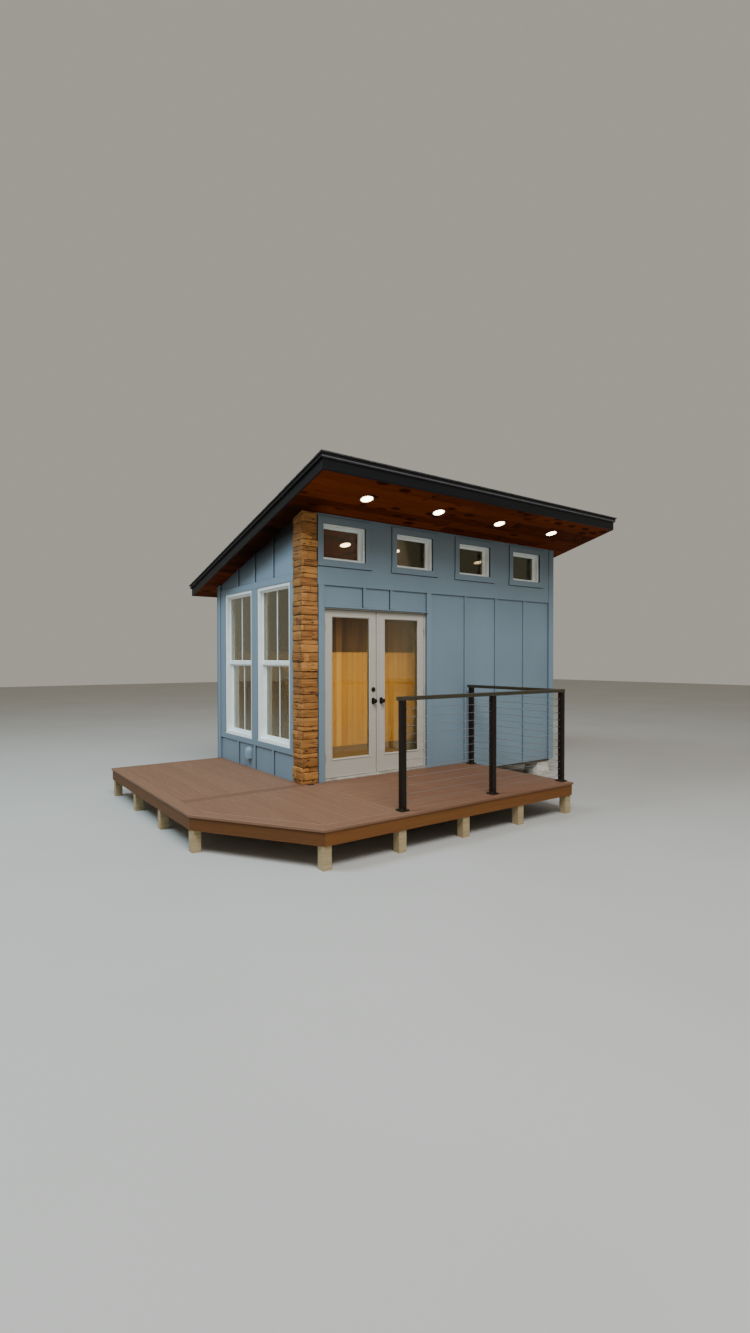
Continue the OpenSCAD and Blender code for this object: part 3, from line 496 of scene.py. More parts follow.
def boarded(
    name, dark, light, along, across, relief, rough, tone,
    gloss=0.5, arris_wear_glint=None, knots=None, cracks=None, dim=None, own_grain=True,
):
    """A finish for boards. Fibres are noise drawn out along the board, so many millimetres long
    and wide; broad figure is the same at six times the size, and each board has its own tone.
    Towards what it is nailed to, a board's side is darkened with painted shade, as in a joint.
    knots is (colour, spacing along, spacing across, size), cracks a colour, arris_wear_glint the
    colour of the arrises, paler for wear and a painted glint, gloss the shader's specular level,
    and dim a mask of painted light and shade, with how much and the colour. own_grain is off for
    solids that carry no grain of their own."""
    material, tree, place = new_finish(name, {"Roughness": rough, "Specular IOR Level": gloss})
    where = add(tree, "Attribute", out="Vector", attribute_name="grain") if own_grain else place
    scale = 1000.0 / np.array([along, across, across])
    fine = pattern(tree, where, scale, 6.0, 0.3)
    broad = pattern(tree, where, scale / 6.0, 3.0, 0.8)
    figure = add(tree, "Math MULTIPLY_ADD", fine, 0.6, add(tree, "Math MULTIPLY", broad, 0.4))
    own = add(tree, "Attribute", out="Fac", attribute_name="tone")
    figure = add(tree, "Math MULTIPLY_ADD", own, tone, figure)
    layers = [(add(tree, "MapRange", figure, 0.32 + tone * 0.3, 0.68 + tone * 0.7), light)]
    height = fine
    if knots:
        colour, spacing_along, spacing_across, size = knots
        spread = (1000.0 / spacing_along, 1000.0 / spacing_across, 1000.0 / spacing_across)
        moved = add(tree, "Mapping", sockets={"Vector": where, "Scale": spread})
        cells = add(tree, "TexVoronoi", sockets={"Vector": moved, "Scale": 1.0}, out="Distance")
        ragged = add(tree, "Math MULTIPLY_ADD", fine, 0.12, cells)
        knot = add(tree, "MapRange", ragged, size, size + 0.1, 1.0, 0.0)
        layers.append((knot, colour))
        height = add(tree, "Math MULTIPLY_ADD", knot, -0.6, height)
    if cracks:
        split = pattern(tree, where, (4.0, *[1000.0 / (across * 3.0)] * 2), 2.0, 0.6)
        crack = add(tree, "MapRange", split, 0.31, 0.38, 0.85, 0.0)
        layers.append((crack, cracks))
        height = add(tree, "Math MULTIPLY_ADD", crack, -1.5, height)
    behind = add(tree, "Attribute", out="Fac", attribute_name="joint")
    # Painted shade where a board meets what is behind it, and paler arrises for wear and a painted
    # glint
    layers.append((add(tree, "MapRange", behind, 0.15, 0.75, 0.0, 0.9), JOINT_SHADE))
    layers.append((add(tree, "MapRange", behind, -0.2, -0.5, 0.0, 0.7), arris_wear_glint or light))
    # Painted light and shade, by a mask
    if dim:
        mask, share, painted_colour = dim
        layers.append((add(tree, "Math MULTIPLY", mask(tree, place), share), painted_colour))
    uneven = add(tree, "MapRange", fine, 0.3, 0.7, rough + 0.06, rough - 0.06)
    return finished(material, layered(tree, dark, *layers), height, relief, uneven)


def painted_wall():
    """The same house paint on siding sheets outside, with the stipple of a roller, some dust low
    down and shade by lower edges and in the high windows' openings. Inside, the lining is boards
    110 mm wide with open joints: yellow pine, varnished, and from 1.58 m over the floor dark
    stained pine."""
    material, tree, place = new_finish("painted_siding", {"Roughness": 0.46})
    x, y, z = add(tree, "SeparateXYZ", place).node.outputs
    stipple = pattern(tree, place, (330.0, 330.0, 5.0), 4.0)
    broad = pattern(tree, place, (1.3, 1.3, 0.8), 4.0)
    mixed = add(tree, "Math MULTIPLY_ADD", stipple, 0.35, add(tree, "Math MULTIPLY", broad, 0.65))
    low = add(tree, "Math MULTIPLY_ADD", broad, 0.25, z)
    under = add(tree, "Math SUBTRACT", z, (DECK + SIDE_Z - APRON_H - 7.0) / 1000.0)
    under = add(tree, "MapRange", add(tree, "Math ABSOLUTE", under), 0.004, 0.007, 1.0, 0.0)
    on_side = add(tree, "MapRange", x, metres(-2.0 * X)[0], metres(2.0 * X)[0], 0.8, 0.0)
    facing = add(tree, "SeparateXYZ", add(tree, "NewGeometry", out="Normal")).node.outputs
    sideways = add(tree, "Math ABSOLUTE", facing["X"])
    reveal = add(tree, "MapRange", sideways, 0.5, 0.9, 0.0, 0.85)
    before_siding = add(tree, "Math LESS_THAN", y, metres(-Y)[1])
    outside = layered(
        tree,
        toned(PAINT, 0.95),
        (add(tree, "MapRange", mixed, 0.3, 0.7), toned(PAINT, 1.04)),
        (add(tree, "MapRange", low, 0.36, 0.62, 0.18, 0.0), "#6E7478"),
        (add(tree, "Math MULTIPLY", under, on_side), SHADE),
        (add(tree, "MapRange", facing["Z"], -0.5, -0.9, 0.0, 0.85), SHADE),
        (add(tree, "Math MULTIPLY", reveal, before_siding), SHADE),
        # Painted shade under the roof's edges
        (painted_eave_shade(tree, place), ROOF_SHADE),
    )
    # Inside is where both distances from the pod's middle are under its half sizes less 60 mm.
    middle = metres([POD_W / 2, POD_D / 2, 0.0])
    in_x = add(tree, "Math COMPARE", x, middle[0], POD_W / 2000.0 - 0.06)
    in_y = add(tree, "Math COMPARE", y, middle[1], POD_D / 2000.0 - 0.06)
    inside = add(tree, "Math MULTIPLY", in_x, in_y)
    count = add(tree, "Math DIVIDE", add(tree, "Math ADD", x, y), 0.11)
    number = {"W": add(tree, "Math FLOOR", count)}
    own = add(tree, "TexWhiteNoise", sockets=number, noise_dimensions="1D")
    grain = pattern(tree, place, (110.0, 110.0, 2.5), 5.0, 0.4)
    tone = add(tree, "Math MULTIPLY_ADD", grain, 0.6, add(tree, "Math MULTIPLY", own, 0.4))
    tone = add(tree, "MapRange", tone, 0.25, 0.75)
    joint = add(tree, "Math PINGPONG", count, 0.5)
    groove = add(tree, "MapRange", joint, 0.012, 0.03, 1.0, 0.0)
    stained = layered(tree, "#2E1F0D", (tone, "#856440"))
    upper = add(tree, "MapRange", z, 1.94, 1.95)
    pine = layered(tree, "#C6943A", (tone, "#EFC566"), (upper, stained), (groove, "#6B4722"))
    sunk = add(tree, "Math MULTIPLY", groove, inside)
    height = add(tree, "Math MULTIPLY_ADD", sunk, -8.0, stipple)
    rough = add(tree, "MapRange", broad, 0.3, 0.7, 0.42, 0.52)
    return finished(material, layered(tree, outside, (inside, pine)), height, 0.00015, rough)


def window_vinyl():
    """Extruded white PVC-U: smooth and slightly glossy, with faint dust."""
    material, tree, place = new_finish("white_vinyl")
    dust = pattern(tree, place, 9.0, 4.0)
    colour = layered(tree, "#F0F7F8", (add(tree, "MapRange", dust, 0.35, 0.75), "#E4EBEC"))
    rough = add(tree, "MapRange", dust, 0.35, 0.75, 0.3, 0.42)
    return finished(material, colour, pattern(tree, place, 400.0, 2.0), 0.00004, rough)


def double_glazing():
    """Clear double glazing: four faces mirror by Fresnel, tinted a faint yellow by the
    low-emissivity coating, and otherwise light goes through with a faint grey. Rain has left
    faint spots that show in the gloss."""
    material, tree, place = new_finish("double_glazing")
    tree.nodes.remove(tree.nodes["Principled BSDF"])
    rough = add(tree, "MapRange", pattern(tree, place, 60.0, 3.0), 0.45, 0.8, 0.01, 0.05)
    mirror = add(tree, "BsdfGlossy", sockets={"Color": "#F8FAEC", "Roughness": rough})
    clear = add(tree, "BsdfTransparent", "#DCD9D0")
    share = add(tree, "MapRange", add(tree, "Fresnel", 1.52), 0.05, 0.33, 0.014, 0.95)
    mixed = add(tree, "MixShader", share, clear, mirror)
    tree.links.new(mixed, tree.nodes["Material Output"].inputs["Surface"])
    return material


def plain_metal(name, colour, metallic, rough, relief, scale, gloss=0.5):
    """A painted or bare metal with slight wear: the colour lightens by a fifth in patches, and
    the surface carries fine marks, drawn out along one axis for brushed metal."""
    values = {"Metallic": metallic, "Specular IOR Level": gloss}
    material, tree, place = new_finish(name, values)
    marks = pattern(tree, place, scale, 3.0)
    patches = pattern(tree, place, 7.0, 4.0)
    lighter = (add(tree, "MapRange", patches, 0.35, 0.75), toned(colour, 1.18))
    dulled = add(tree, "MapRange", patches, 0.3, 0.7, rough - 0.05, rough + 0.08)
    return finished(material, layered(tree, colour, lighter), marks, relief, dulled)


def cast_concrete():
    """Cast concrete: pale grey, mottled over 60 mm, with pores of 2 to 4 mm and a damp foot."""
    material, tree, place = new_finish("cast_concrete", {"Roughness": 0.88})
    mottle = pattern(tree, place, 16.0, 6.0)
    pores = add(tree, "TexVoronoi", sockets={"Vector": place, "Scale": 55.0}, out="Distance")
    pore = add(tree, "MapRange", pores, 0.06, 0.12, 1.0, 0.0)
    height_above = add(tree, "SeparateXYZ", place, out="Z")
    damp = add(tree, "Math MULTIPLY_ADD", mottle, 0.06, height_above)
    damp = add(tree, "MapRange", damp, 0.03, 0.09, 0.5, 0.0)
    pale = (add(tree, "MapRange", mottle, 0.3, 0.7), "#DCD9CF")
    colour = layered(tree, "#C3C0B5", pale, (pore, "#77746B"), (damp, "#7E7868"))
    height = add(tree, "Math MULTIPLY_ADD", pore, -2.0, pattern(tree, place, 420.0, 2.0))
    return finished(material, colour, height, 0.0006)


def granule_shingle():
    """Asphalt shingle: charcoal mineral granules of 1.5 mm, drawn 4 mm so that they show, with
    lighter ones among them and a shade of its own for each tab."""
    material, tree, place = new_finish("asphalt_shingle", {"Roughness": 0.92})
    cells = add(tree, "TexVoronoi", sockets={"Vector": place, "Scale": 250.0}).node.outputs
    speck = add(tree, "MapRange", add(tree, "SeparateColor", cells["Color"]), 0.55, 1.0)
    own = add(tree, "Attribute", out="Fac", attribute_name="tone")
    colour = layered(tree, "#232427", (own, "#3C3D40"), (speck, "#6B6B6C"))
    return finished(material, colour, cells["Distance"], 0.001)


def plank_floor():
    """Oiled oak planks 180 mm wide and 1.8 m long, from a brick pattern turned to X."""
    material, tree, place = new_finish("oak_planks", {"Roughness": 0.45})
    values = {
        "Vector": place,
        "Color1": (0.2, 0.2, 0.2, 1.0),
        "Color2": (0.8, 0.8, 0.8, 1.0),
        "Mortar": (0.0, 0.0, 0.0, 1.0),
        "Scale": 1.0,
        "Mortar Size": 0.0015,
        "Brick Width": 1.8,
        "Row Height": 0.18,
    }
    own, joint = add(tree, "TexBrick", sockets=values).node.outputs
    grain = pattern(tree, place, (3.0, 90.0, 90.0), 6.0, 0.5)
    tone = add(tree, "Math MULTIPLY_ADD", own, 0.4, add(tree, "Math MULTIPLY", grain, 0.6))
    tone = add(tree, "MapRange", tone, 0.2, 0.75)
    colour = layered(tree, "#413727", (tone, "#5E523B"), (joint, "#2E2114"))
    height = add(tree, "Math MULTIPLY_ADD", joint, -4.0, grain)
    return finished(material, colour, height, 0.0002)


def lit_lens():
    """A frosted polycarbonate lens, lit warm white from behind, faintly uneven."""
    values = {"Roughness": 0.4, "Base Color": linear("#FFF6E0"), "Emission Strength": 16.0}
    material, tree, place = new_finish("lit_lens", values)
    soft = add(tree, "MapRange", pattern(tree, place, 30.0, 2.0), 0.3, 0.7)
    colour = layered(tree, "#FFE3AE", (soft, "#FFF0CC"))
    tree.links.new(colour, tree.nodes["Principled BSDF"].inputs["Emission Color"])
    return material


def wire_rope():
    """Stainless 1 by 19 wire rope: bright steel with fine dark lines between the wires, drawn
    twice as wide as they are so that they show."""
    material, tree, place = new_finish("stainless_rope", {"Metallic": 1.0, "Roughness": 0.3})
    lines = pattern(tree, place, 900.0, 1.0)
    colour = layered(tree, "#9A9C9E", (add(tree, "MapRange", lines, 0.4, 0.6), "#CFD1D2"))
    return finished(material, colour, lines, 0.0003)


PAINT = "#788D9C"
SHADE = "#12171B"
# Near-black brown of the painted shade under the roof
ROOF_SHADE = "#0A0703"
# Painted shade in the joints where boards meet what is behind them
JOINT_SHADE = "#0E1113"

# Satin acrylic house paint, brushed on boards: even colour, with soft brush marks 3 mm wide along
# each board, slightly weathered patches and painted shade under the roof's edges
BLUE_PAINT = boarded(
    "satin_house_paint", toned(PAINT, 0.94), toned(PAINT, 1.04), 260.0, 3.0, 0.00012, 0.46, 0.12,
    arris_wear_glint=toned(PAINT, 1.12), dim=(painted_eave_shade, 1.0, ROOF_SHADE),
)
WALL = painted_wall()
VINYL = window_vinyl()
GLASS = double_glazing()
# Factory paint on a fibreglass door: warm light grey, finer and smoother than the boards
DOOR_PAINT = boarded(
    "door_enamel", "#B5B0A5", "#C1BCB1", 200.0, 4.0, 0.00005, 0.4, 0.05, own_grain=False
)
# Rough-sawn cedar, oiled: orange and brown timbers with dark splits and knots, and painted shade on
# the stack's left face
CEDAR = boarded(
    "rough_cedar", "#70400F", "#C88D46", 150.0, 7.0, 0.003, 0.66, 0.24,
    knots=("#2C1507", 150.0, 70.0, 0.14), cracks="#2E180A", dim=(painted_stack_shade, 1.0, ROOF_SHADE),
)
# Tongue-and-groove cedar under dark red-brown stain, with a low sheen and painted shade beside the
# left wall
SOFFIT_STAIN = boarded(
    "stained_cedar", "#421804", "#723411", 160.0, 9.0, 0.0005, 0.7, 0.45,
    gloss=0.04, knots=("#381305", 330.0, 150.0, 0.27), dim=(painted_rake_shade, 0.85, ROOF_SHADE),
)
# Wood-plastic composite: red-brown, embossed with fine grain, almost matt, with painted warm light
# on the front deck right of the door and arrises paler for wear and a painted glint
COMPOSITE = boarded(
    "composite_board", "#71503C", "#7F5E47", 240.0, 6.0, 0.0004, 0.6, 0.12,
    gloss=0.35, arris_wear_glint="#A5866B", dim=(painted_warm_light, 0.4, "#663A1F"),
)
COMPOSITE_EDGE = boarded(
    "composite_fascia", "#67401A", "#794C22", 260.0, 7.0, 0.0004, 0.6, 0.2, gloss=0.25
)
# Pressure-treated pine, sawn: pale, faintly green
SAWN_PINE = boarded(
    "sawn_pine", "#8F7D5B", "#B7A47E", 150.0, 7.0, 0.0006, 0.75, 0.0, own_grain=False
)
# The same pine under the floor, darkened to grey-brown by painted shade
SHADED_PINE = boarded(
    "pine_painted_shade", "#3F3527", "#5E5240", 150.0, 7.0, 0.0006, 0.8, 0.0, own_grain=False
)
# Black gloss paint on fascia boards, brushed along them
DARK_FASCIA = boarded(
    "fascia_paint", "#0D0E0F", "#17181A", 300.0, 4.0, 0.0002, 0.42, 0.1, gloss=0.15, arris_wear_glint="#24282B"
)
# Dark building paper and shadow behind the stack
CEDAR_SHADE = boarded("stack_backing_board", "#1E0F07", "#321A0C", 200.0, 12.0, 0.0005, 0.85, 0.1)
# Coil-coated steel: nearly black, with the faint orange peel of its coating
DRIP_METAL = plain_metal("coated_drip_edge", "#0A0B0C", 0.0, 0.4, 0.00005, 300.0, 0.3)
# The turned lip of the drip edge, painted grey as a highlight where it catches the sky
DRIP_LIP_HIGHLIGHT = plain_metal("drip_lip_painted_highlight", "#454348", 0.0, 0.36, 0.00005, 300.0)
# Dark bronze powder coat on aluminium: a fine, even texture
BRONZE = plain_metal("powder_coat", "#170E06", 0.0, 0.42, 0.00012, 700.0, 0.25)
# The same coat on the top rail, glossier, lightened to an olive tan by a painted reflection
RAIL_REFLECTION = plain_metal("rail_painted_reflection", "#2E2818", 0.0, 0.34, 0.00012, 700.0, 0.6)
# Oil-rubbed bronze of knobs, satin nickel of hinges, and satin steel of rope studs
HARDWARE = plain_metal("oil_rubbed_bronze", "#1B1713", 0.6, 0.36, 0.0001, 500.0)
HINGE = plain_metal("satin_nickel", "#A9A8A1", 0.1, 0.42, 0.00008, 500.0)
STEEL = plain_metal("satin_steel", "#8E8F90", 1.0, 0.34, 0.00008, 600.0)
# Bare rolled aluminium, with die lines along X
MILL_ALUMINIUM = plain_metal("mill_aluminium", "#D9D9D5", 1.0, 0.36, 0.00006, (4.0, 500.0, 500.0))
# White enamel on the trims of the lights
LAMP_TRIM = plain_metal("white_lamp_trim", "#E8E6E0", 0.0, 0.4, 0.00005, 300.0)
CONCRETE = cast_concrete()
SHINGLE = granule_shingle()
PLANKS = plank_floor()
LENS = lit_lens()
ROPE = wire_rope()

# CAD nodes that keep their own shape
DRESSED = {
    "front_wall_left front_wall_right front_wall_top left_wall right_wall back_wall frieze": WALL,
    "window_glass left_pane right_pane": GLASS,
    "door_frame": DOOR_PAINT,
    "door_hinges": HINGE,
    "rafters deck_posts deck_joists sheathing": SAWN_PINE,
    "floor_frame": SHADED_PINE,
    "floor_panel": PLANKS,
}
for names, finish in DRESSED.items():
    for name in names.split():
        for place in nodes[name].material_slots:
            place.material = finish


# Walls and trim

WALL_TOP = SOFFIT - 1.0


def wall_top(y):
    """Height above the deck of what runs up to the soffit at y."""
    return soffit_z(y) - DECK - 1.0


def sloped(y0, y1, foot):
    """A board's outline on a side wall, from its foot up to the sloping soffit."""
    return np.array([[y0, foot], [y1, foot], [y1, wall_top(y1)], [y0, wall_top(y0)]])


def front_trim():
    """Door casings, drip cap, battens and the corner board, nailed over the siding."""
    # Left, foot, right and top, thickness, darkness of the painted joint shade, and width of the
    # caulk
    boards = [(u0, 0.0, u1, FRIEZE_Z, TRIM_T, 0.5, 0.0) for u0, u1 in DOOR_CASINGS]
    middle = DOOR_X + DOOR_W / 2
    battens = [(x, DOOR_H + 17.0, 1.0) for x in (middle - OVER_DOOR, middle + OVER_DOOR)]
    battens += [(x, 0.0 if x < DECK_RIGHT else SIDING_FOOT, 0.5) for x in FRONT_BATTENS]
    for x, foot, nailed in battens:
        sides = (x - HALF_BATTEN, foot, x + HALF_BATTEN, FRIEZE_Z)
        boards.append((*sides, BATTEN_T, nailed, 6.0 * nailed))
    boards.append((POD_W - CORNER_W, SIDING_FOOT, POD_W + TRIM_T, WALL_TOP, TRIM_T, 0.5, 3.0))
    parts = []
    for *sides, depth, nailed, caulk in boards:
        parts.append(board(rect(*sides), 0.0, depth, on_front, 2.0, ALONG_V, nailed, caulk))
    cap = [(0, 0), (-34, 0), (-36, -12), (-37.5, -12), (-35, 4), (0, 16)]
    # The drip cap's underside and the lower part of its lip are darkened with painted shade
    joint = np.array([[1.0, 1.0, 1.0, 0.9, 0.1, 0.0]] * 2)
    over_door = plane(Y, Z, X, (0.0, 0.0, DECK + DOOR_H))
    parts.append(straight(cap, DOOR_X - 8.0, DOOR_X + DOOR_W + 8.0, over_door, joint))
    make("front_trim_boards", parts, BLUE_PAINT, ["front_trim"])


def clerestory_casings():
    """Four boards round each clerestory window, with the sill board past the others, and a line of
    caulk round them, 6 mm wide, dark with painted shade."""
    out, under, raised = -CASING_W - 6.0, -CASING_W + 9.0, FRIEZE_T + 0.8
    line = [(out, FRIEZE_T), (out, raised), (under, raised), (under, FRIEZE_T)]
    z0, z1 = CLERE_Z, CLERE_Z + CLERE_H
    parts = []
    for middle in CLERE_X:
        x0, x1 = middle - CLERE_W / 2, middle + CLERE_W / 2
        left, right = max(x0 - CASING_W, STACK_X + 1.0), x1 + CASING_W
        parts.append(framed(line, (x0, z0), (x1, z1), on_front))
        # The caulk line takes the full painted joint shade
        parts[-1][4][:] = 1.0
        parts.append(board(rect(left, z1, right, z1 + CASING_W), FRIEZE_T, TRIM_T, on_front))
        sill = rect(max(left - 12.0, STACK_X + 1.0), z0 - CASING_W, right + 12.0, z0)
        parts.append(board(sill, FRIEZE_T, 36.0, on_front))
        for u0, u1 in ((left, x0), (x1, right)):
            parts.append(board(rect(u0, z0, u1, z1), FRIEZE_T, TRIM_T, on_front, 2.0, ALONG_V))
    make("clerestory_casing_boards", parts, BLUE_PAINT, ["clerestory_casings"])


def left_trim():
    """Head and apron boards over and under the side windows, casings between them, battens above
    and below, and the back corner board."""
    foot_z, head_z = SIDE_Z - APRON_H, SIDE_Z + SIDE_H
    back = POD_D - CORNER_W
    edges = [STACK_Y, *[y + side * SIDE_W / 2 for y in SIDE_Y for side in (-1, 1)], back]
    parts = []
    for low, high in ((head_z, head_z + HEAD_H), (foot_z, SIDE_Z)):
        parts.append(board(rect(STACK_Y, low, back, high), 0.0, BATTEN_T, on_left, caulk=6.0))
    for y0, y1 in zip(edges[::2], edges[1::2]):
        outline = rect(y0, SIDE_Z, y1, head_z)
        parts.append(board(outline, 0.0, BATTEN_T - 1.0, on_left, 2.0, ALONG_V))
    for middle in (SIDE_Y[0], sum(SIDE_Y) / 2, SIDE_Y[1]):
        y0, y1 = middle - HALF_BATTEN, middle + HALF_BATTEN
        for outline in (rect(y0, 0.0, y1, foot_z), sloped(y0, y1, head_z + HEAD_H)):
            parts.append(board(outline, 0.0, BATTEN_T, on_left, 2.0, ALONG_V, 0.7, 3.0))
    parts.append(board(sloped(back, POD_D, 0.0), 0.0, TRIM_T, on_left, 2.0, ALONG_V, 0.4))
    make("left_trim_boards", parts, BLUE_PAINT, ["left_trim"])


def far_trim():
    """Battens and corner boards of the right and back walls."""
    top = wall_top(POD_D + TRIM_T)
    walls = [("right_trim", on_right, POD_D, 0.0, 5), ("back_trim", on_back, POD_W, TRIM_T, 9)]
    for name, place, wide, past, count in walls:
        sides = [(-past, CORNER_W, TRIM_T), (wide - CORNER_W, wide + past, TRIM_T)]
        for middle in np.linspace(CORNER_W, wide - CORNER_W, count)[1:-1]:
            sides.append((middle - HALF_BATTEN, middle + HALF_BATTEN, BATTEN_T))
        parts = []
        for u0, u1, depth in sides:
            outline = rect(u0, SIDING_FOOT, u1, top) if past else sloped(u0, u1, SIDING_FOOT)
            parts.append(board(outline, 0.0, depth, place, 2.0, ALONG_V, 0.5))
        make(name + "_boards", parts, BLUE_PAINT, [name])


# Stacked timber corner


def timber(length, height, depth):
    """A rough timber along u: a rounded rectangle carried along its length, with every point
    drawn in by a sum of five waves over the length and round the section, and ends eased by two
    smaller rings. v is its height and w its depth, both from 0."""
    section = rounded(height - 1.0, depth, min(height, depth) * 0.15, 3)
    middle = np.linspace(10.0, length - 10.0, 9)
    stations = np.concatenate([[0.0, 3.0], middle, [length - 3.0, length]])
    turn = np.arange(len(section)) * 2 * math.pi / len(section)
    waves = np.zeros((len(stations), len(section)))
    for _ in range(5):
        pace, lap = random.uniform(0.004, 0.035), random.integers(0, 4)
        start = random.uniform(0.0, 6.3)
        waves += np.sin(pace * 2.198 * stations[:, None] + lap * turn[None, :] + start)
    drawn_in = 1.4 + 1.4 * waves / 2.2
    ends = np.zeros(len(stations))
    ends[[0, -1]] = 5.0
    ends[[1, -2]] = 1.5
    drawn_in = np.clip(drawn_in, 0.0, 5.0) + ends[:, None]
    size = np.linalg.norm(section, axis=1)
    ring = section[None] * (1.0 - drawn_in / size[None])[..., None]
    u = np.broadcast_to(stations[:, None], waves.shape)
    return u, ring[..., 0] + height / 2, ring[..., 1] + depth / 2


def stacked_corner():
    """A course at a time, up to the soffit: heights and projections are read from the CAD node,
    and the two timbers of a course lap the corner in turn."""
    corners = [corner.co for corner in nodes["stacked_corner"].data.vertices]
    corners = np.array(corners) * 1000.0 + ORIGIN
    soffit = DECK + SOFFIT
    corners = corners[corners[:, 2] < soffit - 60.0]
    levels = np.unique(np.round(corners[:, 2], 1))
    feet = levels[:-1][np.diff(levels) > 10.0]
    if soffit - feet[-1] > 95.0:
        feet = np.append(feet, (feet[-1] + soffit) / 2)
    tops = np.append(feet[1:] - 2.5, soffit + 10.0)
    parts = []
    for i, (foot, top) in enumerate(zip(feet, tops)):
        at_foot = corners[np.abs(corners[:, 2] - foot) < 0.2]
        if len(at_foot):
            front, side = -at_foot[:, 1].min(), -at_foot[:, 0].min()
        laps = i % 2 == 0
        runs = [(X, -Y, -side if laps else 0.0, STACK_X, front)]
        runs.append((Y, -X, 0.0 if laps else -front, STACK_Y, side))
        for along, out, start, end, reach in runs:
            on_corner = plane(along, Z, out, (0.0, 0.0, 0.0))
            breaks = [start, end]
            if random.random() < 0.3:
                breaks.insert(1, start + (end - start) * random.uniform(0.35, 0.65))
            for a, b in zip(breaks[:-1], breaks[1:]):
                short = random.uniform(0.0, 4.0)
                u, v, w = timber(b - a - 1.5, top - foot, reach - short)
                u, v = u + a, v + foot
                points = on_corner(u, v, w)
                points[..., 2] = np.minimum(points[..., 2], soffit_z(points[..., 1]) - 1.0)
                grain = np.stack([u, v, w], axis=-1) / 1000.0 + random.random(3) * 40.0
                parts.append(loft(points, grain=grain))
    make("stacked_timbers", parts, CEDAR, ["stacked_corner"], smooth=50.0)
    back = [board(rect(-8.0, 0.0, STACK_X - 2.0, WALL_TOP), 0.0, 8.0, on_front, 0.5, ALONG_V)]
    back.append(board(sloped(0.0, STACK_Y - 2.0, 0.0), 0.0, 8.0, on_left, 0.5, ALONG_V))
    make("stack_backing", back, CEDAR_SHADE)


# Windows


def clerestory_windows():
    """A fixed window: a deep white frame with a wide stop and a bevelled glazing bead before and
    behind the pane."""
    section = [(0, 0), (18, 0), (20, 2), (20, 68), (37, 68), (39, 70), (39, 76), (44, 82)]
    section += [(44, 104), (42, 106), (20, 106), (20, 125), (0, 125)]
    parts = []
    for middle in CLERE_X:
        low = (middle - CLERE_W / 2, CLERE_Z)
        parts.append(framed(section, low, (low[0] + CLERE_W, CLERE_Z + CLERE_H), into_front))
    make("clerestory_window_frames", parts, VINYL, ["clerestory_frames"])


def side_windows():
    """Double-hung windows: an outer frame with a sloping sill, an upper sash in front of a lower
    one, each with bevelled glazing beads and one upright bar on both sides of the pane, and a
    lock on the meeting rail."""
    outer = [(0, -8), (34, -8), (37, -5), (37, 8), (42, 10), (42, 125), (0, 125)]
    sill = [(-14, 0), (-12, 14), (40, 40), (40, 0)]
    at_sill = plane(X, Z, Y, (0.0, 0.0, DECK + SIDE_Z))
    half, edge = SIDE_H / 2, 42.0
    # Foot, top, distance in, width of its frame and extra width of its lower rail for each sash
    kinds = [(half, SIDE_H - edge, 42.0, 18, 38.0), (edge, half + 18.0, 74.0, 36, 0.0)]
    frames, sashes = [], []
    for middle in SIDE_Y:
        y0, y1 = middle - SIDE_W / 2, middle + SIDE_W / 2
        frames.append(framed(outer, (y0, SIDE_Z), (y1, SIDE_Z + SIDE_H), into_left))
        frames.append(straight(sill, y0 + 2.0, y1 - 2.0, at_sill))
        for z0, z1, depth, face, rail in kinds:
            bead = face - 9
            section = [(0, depth + 1), (1, depth), (bead, depth), (face, depth + 9)]
            section += [(face, depth + 21), (bead, depth + 30), (0, depth + 30)]
            low, high = (y0 + edge, SIDE_Z + z0), (y1 - edge, SIDE_Z + z1)
            sashes.append(framed(section, low, high, into_left, (0.0, rail, 0.0, 0.0)))
            levels = [DECK + low[1] + 12.0, DECK + high[1] - 12.0]
            for bar_depth in (depth + 9.0, depth + 21.0):
                bar = rounded(6.0, 16.0, 2.5, 2)
                sashes.append(loft(upright([bar] * 2, levels, (bar_depth, middle, 0.0))))
        lock = [rounded(16.0, 52.0, 6.0), rounded(14.0, 50.0, 6.0)]
        sashes.append(loft(upright(lock, [0.0, 9.0], (89.0, middle, DECK + SIDE_Z + half + 17.0))))
    make("side_window_outer_frames", frames, VINYL, ["side_window_frames"])
    make("side_window_sash_frames", sashes, VINYL, ["side_window_sashes"])


# Door


